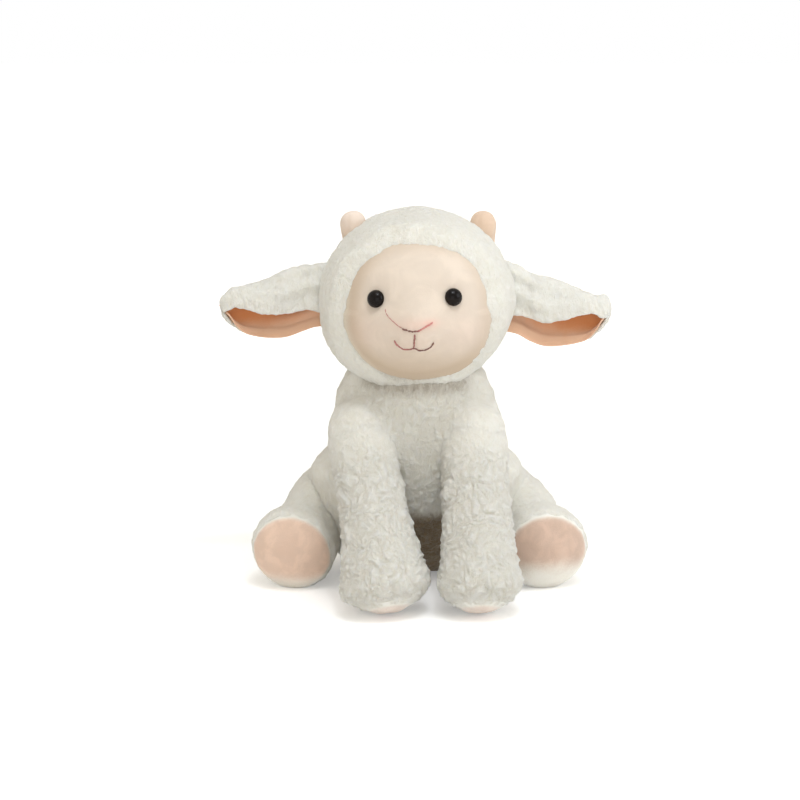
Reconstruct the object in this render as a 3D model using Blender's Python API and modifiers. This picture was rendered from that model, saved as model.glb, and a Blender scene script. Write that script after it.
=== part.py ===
"""A sitting plush lamb: fleece covers over stuffing.

Its limbs, ears, tail and head turn at their seams. The lamb looks along -Y and its own left is +X. It sits on
the plane z = 0.
"""

import math

import bmesh
import bpy
from mathutils import Matrix, Vector
from mathutils.bvhtree import BVHTree

# Sizes shared by all pieces, in metres, and how much coarser the hidden stuffing is. Points that meet
# are joined within the merge distance, and slivers of a cut within the weld distance
fabric = 0.0025
gap = 0.0003
stuffing_gap = 0.0010
overrun = 0.03
floor_press = 0.0005
merge_distance = 0.000003
weld_distance = 0.00003
stuffing_detail_share = 0.72

# Head, a turned egg about the vertical neck axis, with a muzzle
head_radius = 0.068
head_half_height = 0.064
head_y = 0.001
head_z = 0.203
head_segments = 28
head_rings = 14
muzzle_rise = 0.007
muzzle_z = 0.190
muzzle_half_width = 0.027
muzzle_half_height = 0.021
neck_opening_radius = 0.018

# Face opening of the hood
face_half_width = 0.0480
face_half_height = 0.0470
face_z = 0.2035
face_points = 40
face_taper_share = 0.06
brow_power = 2.9
chin_power = 2.1

# Safety eyes
eye_spread = 0.0258
eye_z = 0.2165
eye_radius = 0.006
eye_dome = 0.0046
eye_rim = 0.0008
shank_radius = 0.0018
shank_length = 0.0085
washer_radius = 0.0065
washer_thickness = 0.0014
washer_sink = 0.0014
eye_steps = 20
eye_dome_angles = (90, 68, 46, 24, 0)

# Embroidery
thread_radius = 0.0007
nose_half_width = 0.0138
nose_top_z = 0.2005
nose_low_z = 0.1925
nose_curve_power = 1.2
lip_top_z = 0.1900
lip_low_z = 0.1848
mouth_half_width = 0.0132
mouth_end_z = 0.1875
mouth_low_z = 0.1808
mouth_cusp_z = 0.1827
mouth_sag_share = 1.4
stitch_points = 13

# Ears, a leaf folded along its top edge
ear_y = 0.005
ear_z = 0.208
ear_length = 0.071
ear_half_height = 0.0245
ear_half_thickness = 0.0095
ear_drop = 0.0100
ear_lining = 0.0015
ear_segments = 16
ear_rings = 9
lining_rings = 7
ear_station_shares = (
    # length, height, thickness, drop
    (-0.12, 0.88, 0.72, 0.00),
    (0.04, 0.90, 0.76, 0.02),
    (0.34, 1.00, 1.00, 0.62),
    (0.54, 0.91, 1.00, 0.95),
    (0.76, 0.74, 0.88, 1.08),
    (0.90, 0.54, 0.62, 1.02),
    (0.975, 0.28, 0.32, 0.97),
)
ear_tip_bulge_share = 0.70
ear_slot_shares = (
    # length, flap edge, rim
    (0.08, -0.50, -0.62),
    (0.14, -0.46, -0.84),
    (0.34, -0.35, -0.90),
    (0.54, -0.18, -0.90),
    (0.76, -0.02, -0.84),
    (0.86, 0.00, -0.60),
    (0.90, -0.06, -0.26),
)
ear_slot_points = 12

# Horns
horn_spread = 0.0452
horn_y = 0.011
horn_top_z = 0.2660
horn_radius = 0.0088
horn_flare = 0.0012
horn_lean = math.radians(7)
horn_segments = 14
horn_cap_rings = 4

# Body, from its seat to the hidden top that the head is seated in
body_height = 0.166
body_half_width = 0.078
body_half_depth = 0.0555
body_base_y = 0.043
body_lean = 0.045
body_segments = 26
body_rings = 11
body_station_shares = (
    # height, width, depth, lean
    (0.000, 0.48, 0.52, 0.00),
    (0.045, 0.76, 0.78, 0.00),
    (0.130, 0.92, 0.93, 0.06),
    (0.250, 0.99, 1.00, 0.18),
    (0.390, 1.00, 1.00, 0.34),
    (0.530, 0.955, 0.95, 0.52),
    (0.660, 0.845, 0.87, 0.68),
    (0.780, 0.745, 0.80, 0.80),
    (0.880, 0.655, 0.75, 0.90),
    (0.950, 0.540, 0.66, 0.96),
)

# Pellet pouch
pouch_half_width = 0.029
pouch_half_depth = 0.027
pouch_height = 0.022
pouch_segments = 16
pouch_rings = 8

# Limbs, front and hind: the seam that they turn about, the foot, and the stuffing between
limb_segments = 16
limb_path_rings = 4
root_ring_shares = (-0.88, -0.60, -0.26)
foot_ring_shares = (0.00, 0.34, 0.64, 0.87)
foot_power = 0.62
room_segments = 20
socket_gap = 0.0014

shoulder_x = 0.039
shoulder_y = -0.029
shoulder_z = 0.114
shoulder_radius = 0.025
front_waist_radius = 0.0258
left_paw_x = 0.0420
right_paw_x = 0.0195
paw_y = -0.0775
paw_half_width = 0.030
paw_half_height = 0.0285
paw_depth = 0.016
paw_pitch = math.radians(62)
front_bow = 0.045
sole_seam_share = 0.62

hip_x = 0.066
hip_y = 0.037
hip_z = 0.046
hip_radius = 0.030
hind_waist_radius = 0.0268
hind_foot_x = 0.0865
hind_foot_y = -0.005
hind_foot_half_width = 0.0290
hind_foot_half_height = 0.0272
hind_foot_depth = 0.016
hind_foot_pitch = math.radians(17)
hind_foot_yaw = math.radians(8)
hind_bow = 0.024
pad_seam_share = 0.45

# Tail
tail_root_z = 0.064
tail_length = 0.040
tail_half_width = 0.0135
tail_half_thickness = 0.0068
tail_stand_off = 0.0022
tail_low_power = 1.25
tail_blunt_power = 0.6
tail_segments = 12
tail_rings = 7

# Turns at which each seam's piece is trimmed clear of its neighbour, in degrees: ears fold forward,
# front legs swing forward and up, hind legs spread, and the tail lifts
ear_turns = (-30, -15, 0, 15, 30, 45)
front_leg_turns = (0, 35, 70)
hind_leg_turns = (0,)
tail_turns = (0, 30, 60)

# Colours
colours = {
    "fleece": ((0.87, 0.85, 0.78), 0.95),
    "skin": ((0.86, 0.70, 0.60), 0.85),
    "lining": ((0.78, 0.52, 0.36), 0.85),
    "horn": ((0.84, 0.66, 0.52), 0.80),
    "eye": ((0.012, 0.008, 0.006), 0.08),
    "thread": ((0.40, 0.17, 0.15), 0.70),
    "stuffing": ((0.90, 0.90, 0.90), 1.00),
    "pellets": ((0.55, 0.57, 0.60), 0.60),
    "plastic": ((0.80, 0.80, 0.78), 0.50),
}

for leftover in list(bpy.data.objects):
    bpy.data.objects.remove(leftover, do_unlink=True)

parts = bpy.data.collections.new("plush_lamb")
guides = bpy.data.collections.new("cutters_and_guides")
bpy.context.scene.collection.children.link(parts)
bpy.context.scene.collection.children.link(guides)


def material(name, finish):
    """A plain material of one of the colours above."""
    colour, roughness = colours[finish]
    made = bpy.data.materials.new(name)
    made.use_nodes = True
    shader = made.node_tree.nodes["Principled BSDF"]
    shader.inputs["Base Color"].default_value = (*colour, 1)
    shader.inputs["Roughness"].default_value = roughness
    shader.inputs["Metallic"].default_value = 0
    made.diffuse_color = (*colour, 1)
    return made


def joint_empty(name, place):
    """An empty on a joint's axis, which carries the pieces that turn there."""
    empty = bpy.data.objects.new(name, None)
    empty.location = place
    empty.empty_display_size = overrun
    guides.objects.link(empty)
    return empty


def part(name, shape, finish, carrier=None):
    """A named piece from a bmesh in world coordinates, hung on the empty that carries it."""
    if carrier is not None:
        bmesh.ops.translate(shape, vec=-carrier.location, verts=shape.verts)
    mesh = bpy.data.meshes.new(name)
    shape.to_mesh(mesh)
    shape.free()
    mesh.shade_smooth()
    mesh.materials.append(material(name, finish))
    piece = bpy.data.objects.new(name, mesh)
    piece.parent = carrier
    parts.objects.link(piece)
    return piece


def guide(name, shape):
    """A cutter or a guide from a bmesh in world coordinates."""
    mesh = bpy.data.meshes.new(name)
    shape.to_mesh(mesh)
    shape.free()
    return guide_from(name, mesh)


def guide_from(name, mesh):
    """A cutter or a guide that wears a mesh, which it may share."""
    cutter = bpy.data.objects.new(name, mesh)
    cutter.hide_render = True
    cutter.display_type = "WIRE"
    guides.objects.link(cutter)
    return cutter


def finished_mesh(thing):
    """The mesh that an object's modifiers make."""
    graph = bpy.context.evaluated_depsgraph_get()
    return bpy.data.meshes.new_from_object(thing.evaluated_get(graph))


def wall(piece, thickness):
    """Turns a closed form into a shell whose outer side is the form."""
    solidify = piece.modifiers.new("Wall", "SOLIDIFY")
    solidify.thickness = thickness
    solidify.offset = -1


def drawn_in(piece, depth):
    """Moves a form's surface inwards along its normals, or outwards for a negative depth."""
    displace = piece.modifiers.new("Draw in", "DISPLACE")
    displace.direction = "NORMAL"
    displace.mid_level = 0
    displace.strength = -depth


def cut(piece, cutter, operation="DIFFERENCE"):
    boolean = piece.modifiers.new(cutter.name, "BOOLEAN")
    boolean.solver = "EXACT"
    boolean.operation = operation
    boolean.object = cutter


def cut_at_once(piece, cutters):
    """Takes several cutters away in one step, so that no cut is made on the slivers of another."""
    together = bpy.data.collections.new(f"{piece.name}_cutters")
    guides.children.link(together)
    for cutter in cutters:
        together.objects.link(cutter)
    boolean = piece.modifiers.new("Cut", "BOOLEAN")
    boolean.solver = "EXACT"
    boolean.operation = "DIFFERENCE"
    boolean.operand_type = "COLLECTION"
    boolean.collection = together


def oval(centre, across, up, segments):
    """A ring of points about a centre, with two half-axes."""
    turns = [2 * math.pi * step / segments for step in range(segments)]
    return [centre + across * math.cos(turn) + up * math.sin(turn) for turn in turns]


def skin(rings, first_pole, last_pole):
    """A closed form through a row of rings, from pole to pole."""
    shape = bmesh.new()
    loops = [[shape.verts.new(point) for point in ring] for ring in rings]
    count = len(loops[0])
    for near, far in zip(loops, loops[1:]):
        for here in range(count):
            after = (here + 1) % count
            shape.faces.new((near[here], near[after], far[after], far[here]))
    for place, loop in ((first_pole, loops[0]), (last_pole, loops[-1])):
        pole = shape.verts.new(place)
        for here in range(count):
            shape.faces.new((loop[here], loop[(here + 1) % count], pole))
    bmesh.ops.recalc_face_normals(shape, faces=shape.faces)
    return shape


def smooth_read(stations, share):
    """Reads a smooth curve through a row of stations at a share of the way along it."""
    place = share * (len(stations) - 1)
    index = min(int(place), len(stations) - 2)
    part_way = place - index
    before = stations[max(index - 1, 0)]
    near, far = stations[index], stations[index + 1]
    after = stations[min(index + 2, len(stations) - 1)]
    read = []
    for a, b, c, d in zip(before, near, far, after):
        bend = (2 * a - 5 * b + 4 * c - d) * part_way**2 + (3 * b - a - 3 * c + d) * part_way**3
        read.append(b + 0.5 * ((c - a) * part_way + bend))
    return read


def ball(radius, centre, segments):
    """A sphere that stays outside the true one, for a room that a round piece turns in."""
    shape = bmesh.new()
    outer = radius / math.cos(math.pi / segments) ** 2
    bmesh.ops.create_uvsphere(shape, u_segments=segments, v_segments=segments // 2, radius=outer)
    bmesh.ops.translate(shape, vec=centre, verts=shape.verts)
    return shape


def block(lowest, highest):
    """A box between two corners."""
    shape = bmesh.new()
    bmesh.ops.create_cube(shape, size=1)
    bmesh.ops.scale(shape, vec=highest - lowest, verts=shape.verts)
    bmesh.ops.translate(shape, vec=(highest + lowest) / 2, verts=shape.verts)
    return shape


def prism(outline, near_y, far_y):
    """An outline in the XZ plane, drawn out along Y."""
    shape = bmesh.new()
    face = shape.faces.new([shape.verts.new((x, near_y, z)) for x, z in outline])
    drawn = bmesh.ops.extrude_face_region(shape, geom=[face])
    moved = [item for item in drawn["geom"] if isinstance(item, bmesh.types.BMVert)]
    bmesh.ops.translate(shape, vec=(0, far_y - near_y, 0), verts=moved)
    bmesh.ops.recalc_face_normals(shape, faces=shape.faces)
    return shape


def turned_copies(name, mesh, pivot, axis, turns):
    """Cutters where a fixed neighbour lies, as a piece sees it while it turns about its seam."""
    copies = []
    for turn in turns:
        copy = guide_from(f"{name}_{turn}", mesh)
        back = Matrix.Rotation(-math.radians(turn), 4, axis)
        copy.matrix_world = Matrix.Translation(pivot) @ back @ Matrix.Translation(-pivot)
        copies.append(copy)
    return copies


# Head form

def muzzle_at(x, z):
    """How far the muzzle stands out of the head's egg."""
    spread = (x / muzzle_half_width) ** 2 + ((z - muzzle_z) / muzzle_half_height) ** 2
    return muzzle_rise * math.exp(-spread)


def head_form(detail_share=1, size_share=1):
    """The head's egg, turned half a segment so that no edge lies in its middle plane."""
    segments, rings = round(head_segments * detail_share), round(head_rings * detail_share)
    shape = bmesh.new()
    bmesh.ops.create_uvsphere(shape, u_segments=segments, v_segments=rings, radius=size_share)
    half_step = Matrix.Rotation(math.pi / segments, 4, "Z")
    for vertex in shape.verts:
        unit = half_step @ vertex.co
        x, z = unit.x * head_radius, head_z + unit.z * head_half_height
        front = max(-unit.y, 0)
        vertex.co = Vector((x, head_y + unit.y * head_radius - muzzle_at(x, z) * front, z))
    return shape


def face_y(x, z):
    """Where the front of the true head form lies."""
    level = 1 - ((z - head_z) / head_half_height) ** 2 - (x / head_radius) ** 2
    front = math.sqrt(max(level, 0))
    return head_y - head_radius * front - muzzle_at(x, z) * front


def face_normal(x, z):
    """Which way the front of the head faces."""
    step = thread_radius
    slope_x = (face_y(x + step, z) - face_y(x - step, z)) / (2 * step)
    slope_z = (face_y(x, z + step) - face_y(x, z - step)) / (2 * step)
    return Vector((slope_x, -1, slope_z)).normalized()


def on_face(x, z):
    """A point on the front of the head's mesh."""
    return head_surface.ray_cast(Vector((x, face_far_y, z)), Vector((0, 1, 0)))[0]


face_far_y = head_y - head_radius - muzzle_rise - overrun
head_surface = BVHTree.FromBMesh(head_form())


def face_outline(inset):
    """The face opening in front view: squarer at the brow, rounder at the chin, wider below."""
    outline = []
    for step in range(face_points):
        turn = 2 * math.pi * step / face_points
        across, up = math.cos(turn), math.sin(turn)
        power = 2 / (brow_power if up > 0 else chin_power)
        z_share = math.copysign(abs(up) ** power, up)
        x_share = math.copysign(abs(across) ** power, across) * (1 - face_taper_share * z_share)
        outline.append((x_share * (face_half_width - inset), face_z + z_share * (face_half_height - inset)))
    return outline


# Body form

def body_form():
    rings = []
    for step in range(body_rings):
        height, width, depth, lean = smooth_read(body_station_shares, step / (body_rings - 1))
        centre = Vector((0, body_base_y - lean * body_lean, height * body_height - floor_press / 2))
        across = Vector((width * body_half_width, 0, 0))
        back = Vector((0, depth * body_half_depth, 0))
        rings.append(oval(centre, across, back, body_segments))
    seat = Vector((0, body_base_y, -floor_press))
    top = Vector((0, body_base_y - body_lean, body_height))
    return skin(rings, seat, top)


# Limb form

def path_frame(along):
    """Two directions across a path: level with the floor, and square to it."""
    across = along.cross(Vector((0, 0, 1))).normalized()
    return across, across.cross(along).normalized()


def foot_share(share):
    """How wide the foot still is at a share of its depth, from its widest ring to the sole."""
    return (1 - share**2) ** foot_power


def foot_drop(half_height, depth, pitch):
    """How far a foot reaches below the centre of its widest ring."""
    reach = [
        half_height * math.cos(pitch) * foot_share(share) + depth * math.sin(pitch) * share
        for share in (*foot_ring_shares, 1)
    ]
    return max(reach)


def limb_form(root, root_radius, knee, foot, end, waist, half_width, half_height, depth, detail_share=1):
    """A stuffed limb: a round root, a bent barrel and a blunt foot that ends along the given direction."""
    start = (knee - root).normalized()
    across, up = path_frame(start)
    rings = []
    segments = round(limb_segments * detail_share)
    for share in root_ring_shares:
        radius = root_radius * math.sqrt(1 - share**2)
        rings.append(oval(root + start * root_radius * share, across * radius, up * radius, segments))
    sizes = ((root_radius, root_radius), (waist, waist), (half_width, half_height))
    for step in range(limb_path_rings):
        t = step / limb_path_rings
        centre = root * (1 - t) ** 2 + knee * 2 * t * (1 - t) + foot * t**2
        along = ((knee - root) * (1 - t) + (foot - knee) * t).normalized()
        across, up = path_frame(along)
        width, height = smooth_read(sizes, t)
        rings.append(oval(centre, across * width, up * height, segments))
    across, up = path_frame(end)
    for share in foot_ring_shares:
        size = foot_share(share)
        centre = foot + end * depth * share
        rings.append(oval(centre, across * half_width * size, up * half_height * size, segments))
    return skin(rings, root - start * root_radius, foot + end * depth)


def seam_block(name, place, along, behind=False):
    """A block whose face is a seam plane, on the foot's side of it or behind it."""
    size = overrun * 3
    shape = bmesh.new()
    bmesh.ops.create_cube(shape, size=size)
    side = -1 if behind else 1
    turn = along.to_track_quat("Z", "Y").to_matrix().to_4x4()
    middle = place + along * side * size / 2
    bmesh.ops.transform(shape, matrix=Matrix.Translation(middle) @ turn, verts=shape.verts)
    return guide(name, shape)


def build_limb(name, root, root_radius, foot, yaw, pitch, bow, waist, sizes, seam_share, sole, axis, turns):
    """One limb: its fleece cover, its stuffing and the pad that closes its foot."""
    half_width, half_height, depth = sizes
    end = Vector((math.sin(yaw) * math.cos(pitch), -math.cos(yaw) * math.cos(pitch), -math.sin(pitch)))
    knee = foot - end * bow
    form = (root, root_radius, knee, foot, end, waist, half_width, half_height, depth)
    carrier = joint_empty(f"{name}_seam", root)
    cover = part(f"{name}_leg", limb_form(*form), "fleece", carrier)
    stuffing = part(f"{name}_filling", limb_form(*form, stuffing_detail_share), "stuffing", carrier)
    pad = part(f"{name}_{sole}", limb_form(*form), "skin", carrier)
    wall(cover, fabric)
    wall(pad, fabric)
    drawn_in(stuffing, fabric + stuffing_gap)
    seam = foot + end * depth * seam_share
    foot_opening = seam_block(f"{name}_foot_opening", seam, end)
    cut(pad, seam_block(f"{name}_foot_end", seam + end * gap, end), "INTERSECT")
    cut(pad, floor)

    fixed = guide(f"{name}_body_side", body_form())
    drawn_in(fixed, -gap)
    cut(fixed, guide(f"{name}_root_ball", ball(root_radius + gap, root, room_segments)))
    room = finished_mesh(fixed)
    bpy.data.objects.remove(fixed)
    rooms = turned_copies(f"{name}_room", room, root, axis, turns)
    cut_at_once(cover, [foot_opening, floor, *rooms])
    cut_at_once(stuffing, rooms)
    return guide(f"{name}_socket", ball(root_radius + socket_gap, root, room_segments))


# Floor, head room and face cutters

reach = ear_length + head_radius + overrun
floor = guide("floor", block(Vector((-reach, -reach, -overrun)), Vector((reach, reach, 0))))
head_room = guide("head_room", head_form(size_share=1 / math.cos(math.pi / head_segments)))
head_side = guide("head_side", head_form())
for form in (head_room, head_side):
    drawn_in(form, -gap)
face_opening = guide("face_opening", prism(face_outline(0), face_far_y, head_y))
face_blank = guide("face_blank", prism(face_outline(gap), face_far_y, head_y))

# Limbs

sockets = []
for side, sign, paw_x in (("left", 1, left_paw_x), ("right", -1, -right_paw_x)):
    paw_z = foot_drop(paw_half_height, paw_depth, paw_pitch) - floor_press
    shoulder = Vector((sign * shoulder_x, shoulder_y, shoulder_z))
    paw_sizes = (paw_half_width, paw_half_height, paw_depth)
    paw_yaw = math.atan2(paw_x - sign * shoulder_x, shoulder_y - paw_y)
    sockets.append(build_limb(
        f"{side}_front", shoulder, shoulder_radius, Vector((paw_x, paw_y, paw_z)), paw_yaw, paw_pitch,
        front_bow, front_waist_radius, paw_sizes, sole_seam_share, "sole", Vector((-1, 0, 0)),
        front_leg_turns,
    ))
    foot_z = foot_drop(hind_foot_half_height, hind_foot_depth, hind_foot_pitch) - floor_press
    hip = Vector((sign * hip_x, hip_y, hip_z))
    foot_sizes = (hind_foot_half_width, hind_foot_half_height, hind_foot_depth)
    sockets.append(build_limb(
        f"{side}_hind", hip, hip_radius, Vector((sign * hind_foot_x, hind_foot_y, foot_z)),
        sign * hind_foot_yaw, hind_foot_pitch, hind_bow, hind_waist_radius, foot_sizes,
        pad_seam_share, "pad", Vector((0, 0, sign)), hind_leg_turns,
    ))

# Body

body_cover = part("body_cover", body_form(), "fleece")
wall(body_cover, fabric)
body_filling = part("body_filling", body_form(), "stuffing")
drawn_in(body_filling, fabric + stuffing_gap)
cut_at_once(body_cover, [head_room, *sockets, floor])


def pouch_form(clearance):
    """A flat-bottomed bag that lies on the inside of the seat."""
    shape = bmesh.new()
    bmesh.ops.create_uvsphere(shape, u_segments=pouch_segments, v_segments=pouch_rings, radius=1)
    size = Vector((pouch_half_width + clearance, pouch_half_depth + clearance, pouch_height + clearance))
    bmesh.ops.scale(shape, vec=size, verts=shape.verts)
    bmesh.ops.translate(shape, vec=(0, body_base_y, pouch_base_z - gap), verts=shape.verts)
    return shape


pouch_base_z = fabric + gap
pouch_reach = pouch_half_width + pouch_half_depth
below_pouch = guide("below_pouch", block(
    Vector((-pouch_reach, body_base_y - pouch_reach, pouch_base_z - pouch_height - overrun)),
    Vector((pouch_reach, body_base_y + pouch_reach, pouch_base_z)),
))
pouch_room = guide("pouch_room", pouch_form(gap))
pellet_pouch = part("pellet_pouch", pouch_form(0), "pellets")
cut(pellet_pouch, below_pouch)
cut_at_once(body_filling, [head_room, *sockets, pouch_room])

# Head

neck = joint_empty("neck", Vector((0, head_y, head_z)))


head_hood = part("head_hood", head_form(), "fleece", neck)
wall(head_hood, fabric)
cut(head_hood, face_opening)
face_panel = part("face_panel", head_form(), "skin", neck)
wall(face_panel, fabric)
cut(face_panel, face_blank, "INTERSECT")
head_filling = part("head_filling", head_form(stuffing_detail_share), "stuffing", neck)
drawn_in(head_filling, fabric + stuffing_gap)


def rod(name, place, along, radius, near, far, segments):
    """A round cutter along a direction, between two distances from a place."""
    shape = bmesh.new()
    outer = radius / math.cos(math.pi / segments)
    bmesh.ops.create_cone(
        shape, cap_ends=True, segments=segments, radius1=outer, radius2=outer, depth=far - near
    )
    turn = along.to_track_quat("Z", "Y").to_matrix().to_4x4()
    middle = place + along * (near + far) / 2
    bmesh.ops.transform(shape, matrix=Matrix.Translation(middle) @ turn, verts=shape.verts)
    return guide(name, shape)


neck_opening = rod(
    "neck_opening", Vector((0, head_y, head_z)), Vector((0, 0, -1)), neck_opening_radius,
    head_half_height - overrun, head_half_height + overrun, head_segments,
)
cut(head_hood, neck_opening)


def turned(name, profile, closed, place, along, finish):
    """A piece turned about its own axis, which points along the given direction."""
    shape = bmesh.new()
    points = [shape.verts.new((radius, 0, height)) for radius, height in profile]
    pairs = list(zip(points, points[1:]))
    if closed:
        pairs.append((points[-1], points[0]))
    for pair in pairs:
        shape.edges.new(pair)
    mesh = bpy.data.meshes.new(name)
    shape.to_mesh(mesh)
    shape.free()
    mesh.materials.append(material(name, finish))
    piece = bpy.data.objects.new(name, mesh)
    piece.parent = neck
    piece.location = place - neck.location
    piece.rotation_mode = "QUATERNION"
    piece.rotation_quaternion = along.to_track_quat("Z", "Y")
    screw = piece.modifiers.new("Turn", "SCREW")
    screw.steps = eye_steps
    screw.render_steps = eye_steps
    screw.use_merge_vertices = True
    screw.merge_threshold = merge_distance
    screw.use_smooth_shade = True
    parts.objects.link(piece)
    return piece


def eye_profile():
    """The dome from its crown to its rim, then the flat back and the shank."""
    dome_turns = [math.radians(angle) for angle in eye_dome_angles]
    dome = [(eye_radius * math.cos(turn), eye_rim + eye_dome * math.sin(turn)) for turn in dome_turns]
    dome[0] = (0, eye_rim + eye_dome)
    shank = [(shank_radius, 0), (shank_radius, -shank_length), (0, -shank_length)]
    return [*dome, (eye_radius - eye_rim, 0), *shank]


for side, sign in (("left", 1), ("right", -1)):
    outward = face_normal(sign * eye_spread, eye_z)
    seat = on_face(sign * eye_spread, eye_z)
    turned(f"{side}_eye", eye_profile(), False, seat + outward * gap, outward, "eye")
    hole = rod(
        f"{side}_shank_hole", seat, outward, shank_radius + gap, -shank_length - overrun, overrun, eye_steps
    )
    cut(face_panel, hole)
    bore = shank_radius + gap
    washer_profile = [
        (washer_radius, 0), (washer_radius, -washer_thickness), (bore, -washer_thickness), (bore, 0),
    ]
    washer_seat = seat - outward * (fabric + washer_sink)
    turned(f"{side}_eye_washer", washer_profile, True, washer_seat, outward, "plastic")
    pocket = rod(
        f"{side}_washer_pocket", seat, outward, washer_radius + gap, -shank_length - 2 * gap, overrun,
        eye_steps,
    )
    cut(head_filling, pocket)


def stitch(name, x_at, z_at):
    """A thread that lies on the face along a path given by two formulas."""
    curve = bpy.data.curves.new(name, "CURVE")
    curve.dimensions = "3D"
    curve.bevel_depth = thread_radius
    curve.bevel_resolution = 1
    curve.use_fill_caps = True
    spline = curve.splines.new("POLY")
    spline.points.add(stitch_points - 1)
    for step, point in enumerate(spline.points):
        share = step / (stitch_points - 1)
        x, z = x_at(share), z_at(share)
        place = on_face(x, z) + face_normal(x, z) * (thread_radius + gap)
        point.co = (*(place - neck.location), 1)
    curve.materials.append(material(name, "thread"))
    thread = bpy.data.objects.new(name, curve)
    thread.parent = neck
    weld = thread.modifiers.new("Close the caps", "WELD")
    weld.merge_threshold = merge_distance
    parts.objects.link(thread)


def mouth_z(share):
    """Two shallow curves that meet in a cusp below the nose."""
    side_share = abs(2 * share - 1)
    level = mouth_cusp_z + (mouth_end_z - mouth_cusp_z) * side_share**2
    sag = (mouth_cusp_z - mouth_low_z) * math.sin(math.pi * side_share) * mouth_sag_share
    return level - sag


stitch(
    "nose_stitch",
    lambda share: nose_half_width * (2 * share - 1),
    lambda share: nose_low_z + (nose_top_z - nose_low_z) * abs(2 * share - 1) ** nose_curve_power,
)
stitch("lip_stitch", lambda share: 0, lambda share: lip_top_z + (lip_low_z - lip_top_z) * share)
stitch("mouth_stitch", lambda share: mouth_half_width * (2 * share - 1), mouth_z)

# Horns


def horn_form(sign):
    """A nub with a round top and a slight flare towards its base inside the head."""
    rings = []
    along = Vector((sign * math.sin(horn_lean), 0, math.cos(horn_lean)))
    tip = Vector((sign * horn_spread, horn_y, horn_top_z))
    across = Vector((math.cos(horn_lean), 0, -sign * math.sin(horn_lean)))
    back = Vector((0, 1, 0))
    crown = tip - along * horn_radius
    for step in range(1, horn_cap_rings + 1):
        turn = math.pi / 2 * (1 - step / horn_cap_rings)
        radius = horn_radius * math.cos(turn)
        centre = crown + along * horn_radius * math.sin(turn)
        rings.append(oval(centre, across * radius, back * radius, horn_segments))
    base_radius = horn_radius + horn_flare
    base = crown - along * 2 * horn_radius
    rings.append(oval(base, across * base_radius, back * base_radius, horn_segments))
    return skin(rings, tip, base - along * horn_flare)


for side, sign in (("left", 1), ("right", -1)):
    horn = part(f"{side}_horn", horn_form(sign), "horn", neck)
    cut(horn, head_side)

# Ears


def ear_sizes(length, height, thickness, drop, sign):
    """The centre and half-axes of the ear's section at a share of its length."""
    seam_x = math.sqrt(head_radius**2 - (ear_y - head_y) ** 2)
    centre = Vector((sign * (seam_x + length * ear_length), ear_y, ear_z - drop * ear_drop))
    return centre, thickness * ear_half_thickness, height * ear_half_height


def ear_form(sign, ring_count, inset):
    """A flattened tube of so many rings, from inside the head to a blunt end, drawn in by the inset."""
    rings = []
    for step in range(ring_count):
        station = smooth_read(ear_station_shares, step / (ear_rings - 1))
        centre, thickness, height = ear_sizes(*station, sign)
        across = Vector((0, thickness - inset, 0))
        up = Vector((0, 0, height - inset))
        rings.append(oval(centre, across, up, ear_segments))
    root = ear_sizes(*ear_station_shares[0], sign)[0] - Vector((sign * (ear_half_thickness + inset), 0, 0))
    tip = centre + Vector((sign * (thickness - inset) * ear_tip_bulge_share, 0, 0))
    return skin(rings, root, tip)


def ear_station_at(length):
    """The ear's height and drop shares at a share of its length."""
    for near, far in zip(ear_station_shares, ear_station_shares[1:]):
        if length <= far[0]:
            share = (length - near[0]) / (far[0] - near[0])
            return [a + (b - a) * share for a, b in zip(near, far)]
    return list(ear_station_shares[-1])


def ear_slot_outline(sign):
    """The opening between the front flap and the rim, seen from the front."""
    flap, rim = [], []
    for step in range(ear_slot_points):
        length, flap_share, rim_share = smooth_read(ear_slot_shares, step / (ear_slot_points - 1))
        _, height, _, drop = ear_station_at(length)
        centre, _, half_height = ear_sizes(length, height, 0, drop, sign)
        flap.append((centre.x, centre.z + half_height * flap_share))
        rim.append((centre.x, centre.z + half_height * rim_share))
    return flap + rim[::-1]


head_side_mesh = finished_mesh(head_side)
for side, sign in (("left", 1), ("right", -1)):
    seam = ear_sizes(0, 0, 0, 0, sign)[0]
    carrier = joint_empty(f"{side}_ear_seam", seam)
    fleece = part(f"{side}_ear", ear_form(sign, ear_rings, 0), "fleece", carrier)
    inside = guide(f"{side}_ear_inside", ear_form(sign, ear_rings - 1, fabric))
    lining_inset = fabric + 2 * gap
    lining = part(f"{side}_ear_lining", ear_form(sign, lining_rings, lining_inset), "lining", carrier)
    lining_inside = guide(f"{side}_lining_inside", ear_form(sign, lining_rings, lining_inset + ear_lining))
    slot_outline = ear_slot_outline(sign)
    slot = guide(f"{side}_ear_slot", prism(slot_outline, ear_y - ear_half_thickness - overrun, ear_y - gap))
    forward = Vector((0, 0, -sign))
    rooms = turned_copies(f"{side}_ear_room", head_side_mesh, seam, forward, ear_turns)
    cut_at_once(fleece, [inside, slot, *rooms])
    cut_at_once(lining, [lining_inside, slot, *rooms])

# Tail


def body_back_y(z):
    """Where the back of the body lies at a height."""
    rows = [smooth_read(body_station_shares, step / body_segments) for step in range(body_segments + 1)]
    nearest = min(rows, key=lambda row: abs(row[0] * body_height - z))
    return body_base_y - nearest[3] * body_lean + nearest[2] * body_half_depth


tail_root = Vector((0, body_back_y(tail_root_z) + tail_stand_off, tail_root_z))
tail_end_z = tail_root_z - tail_length
tail_end = Vector((0, body_back_y(tail_end_z) + tail_stand_off + tail_half_thickness, tail_end_z))


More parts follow.
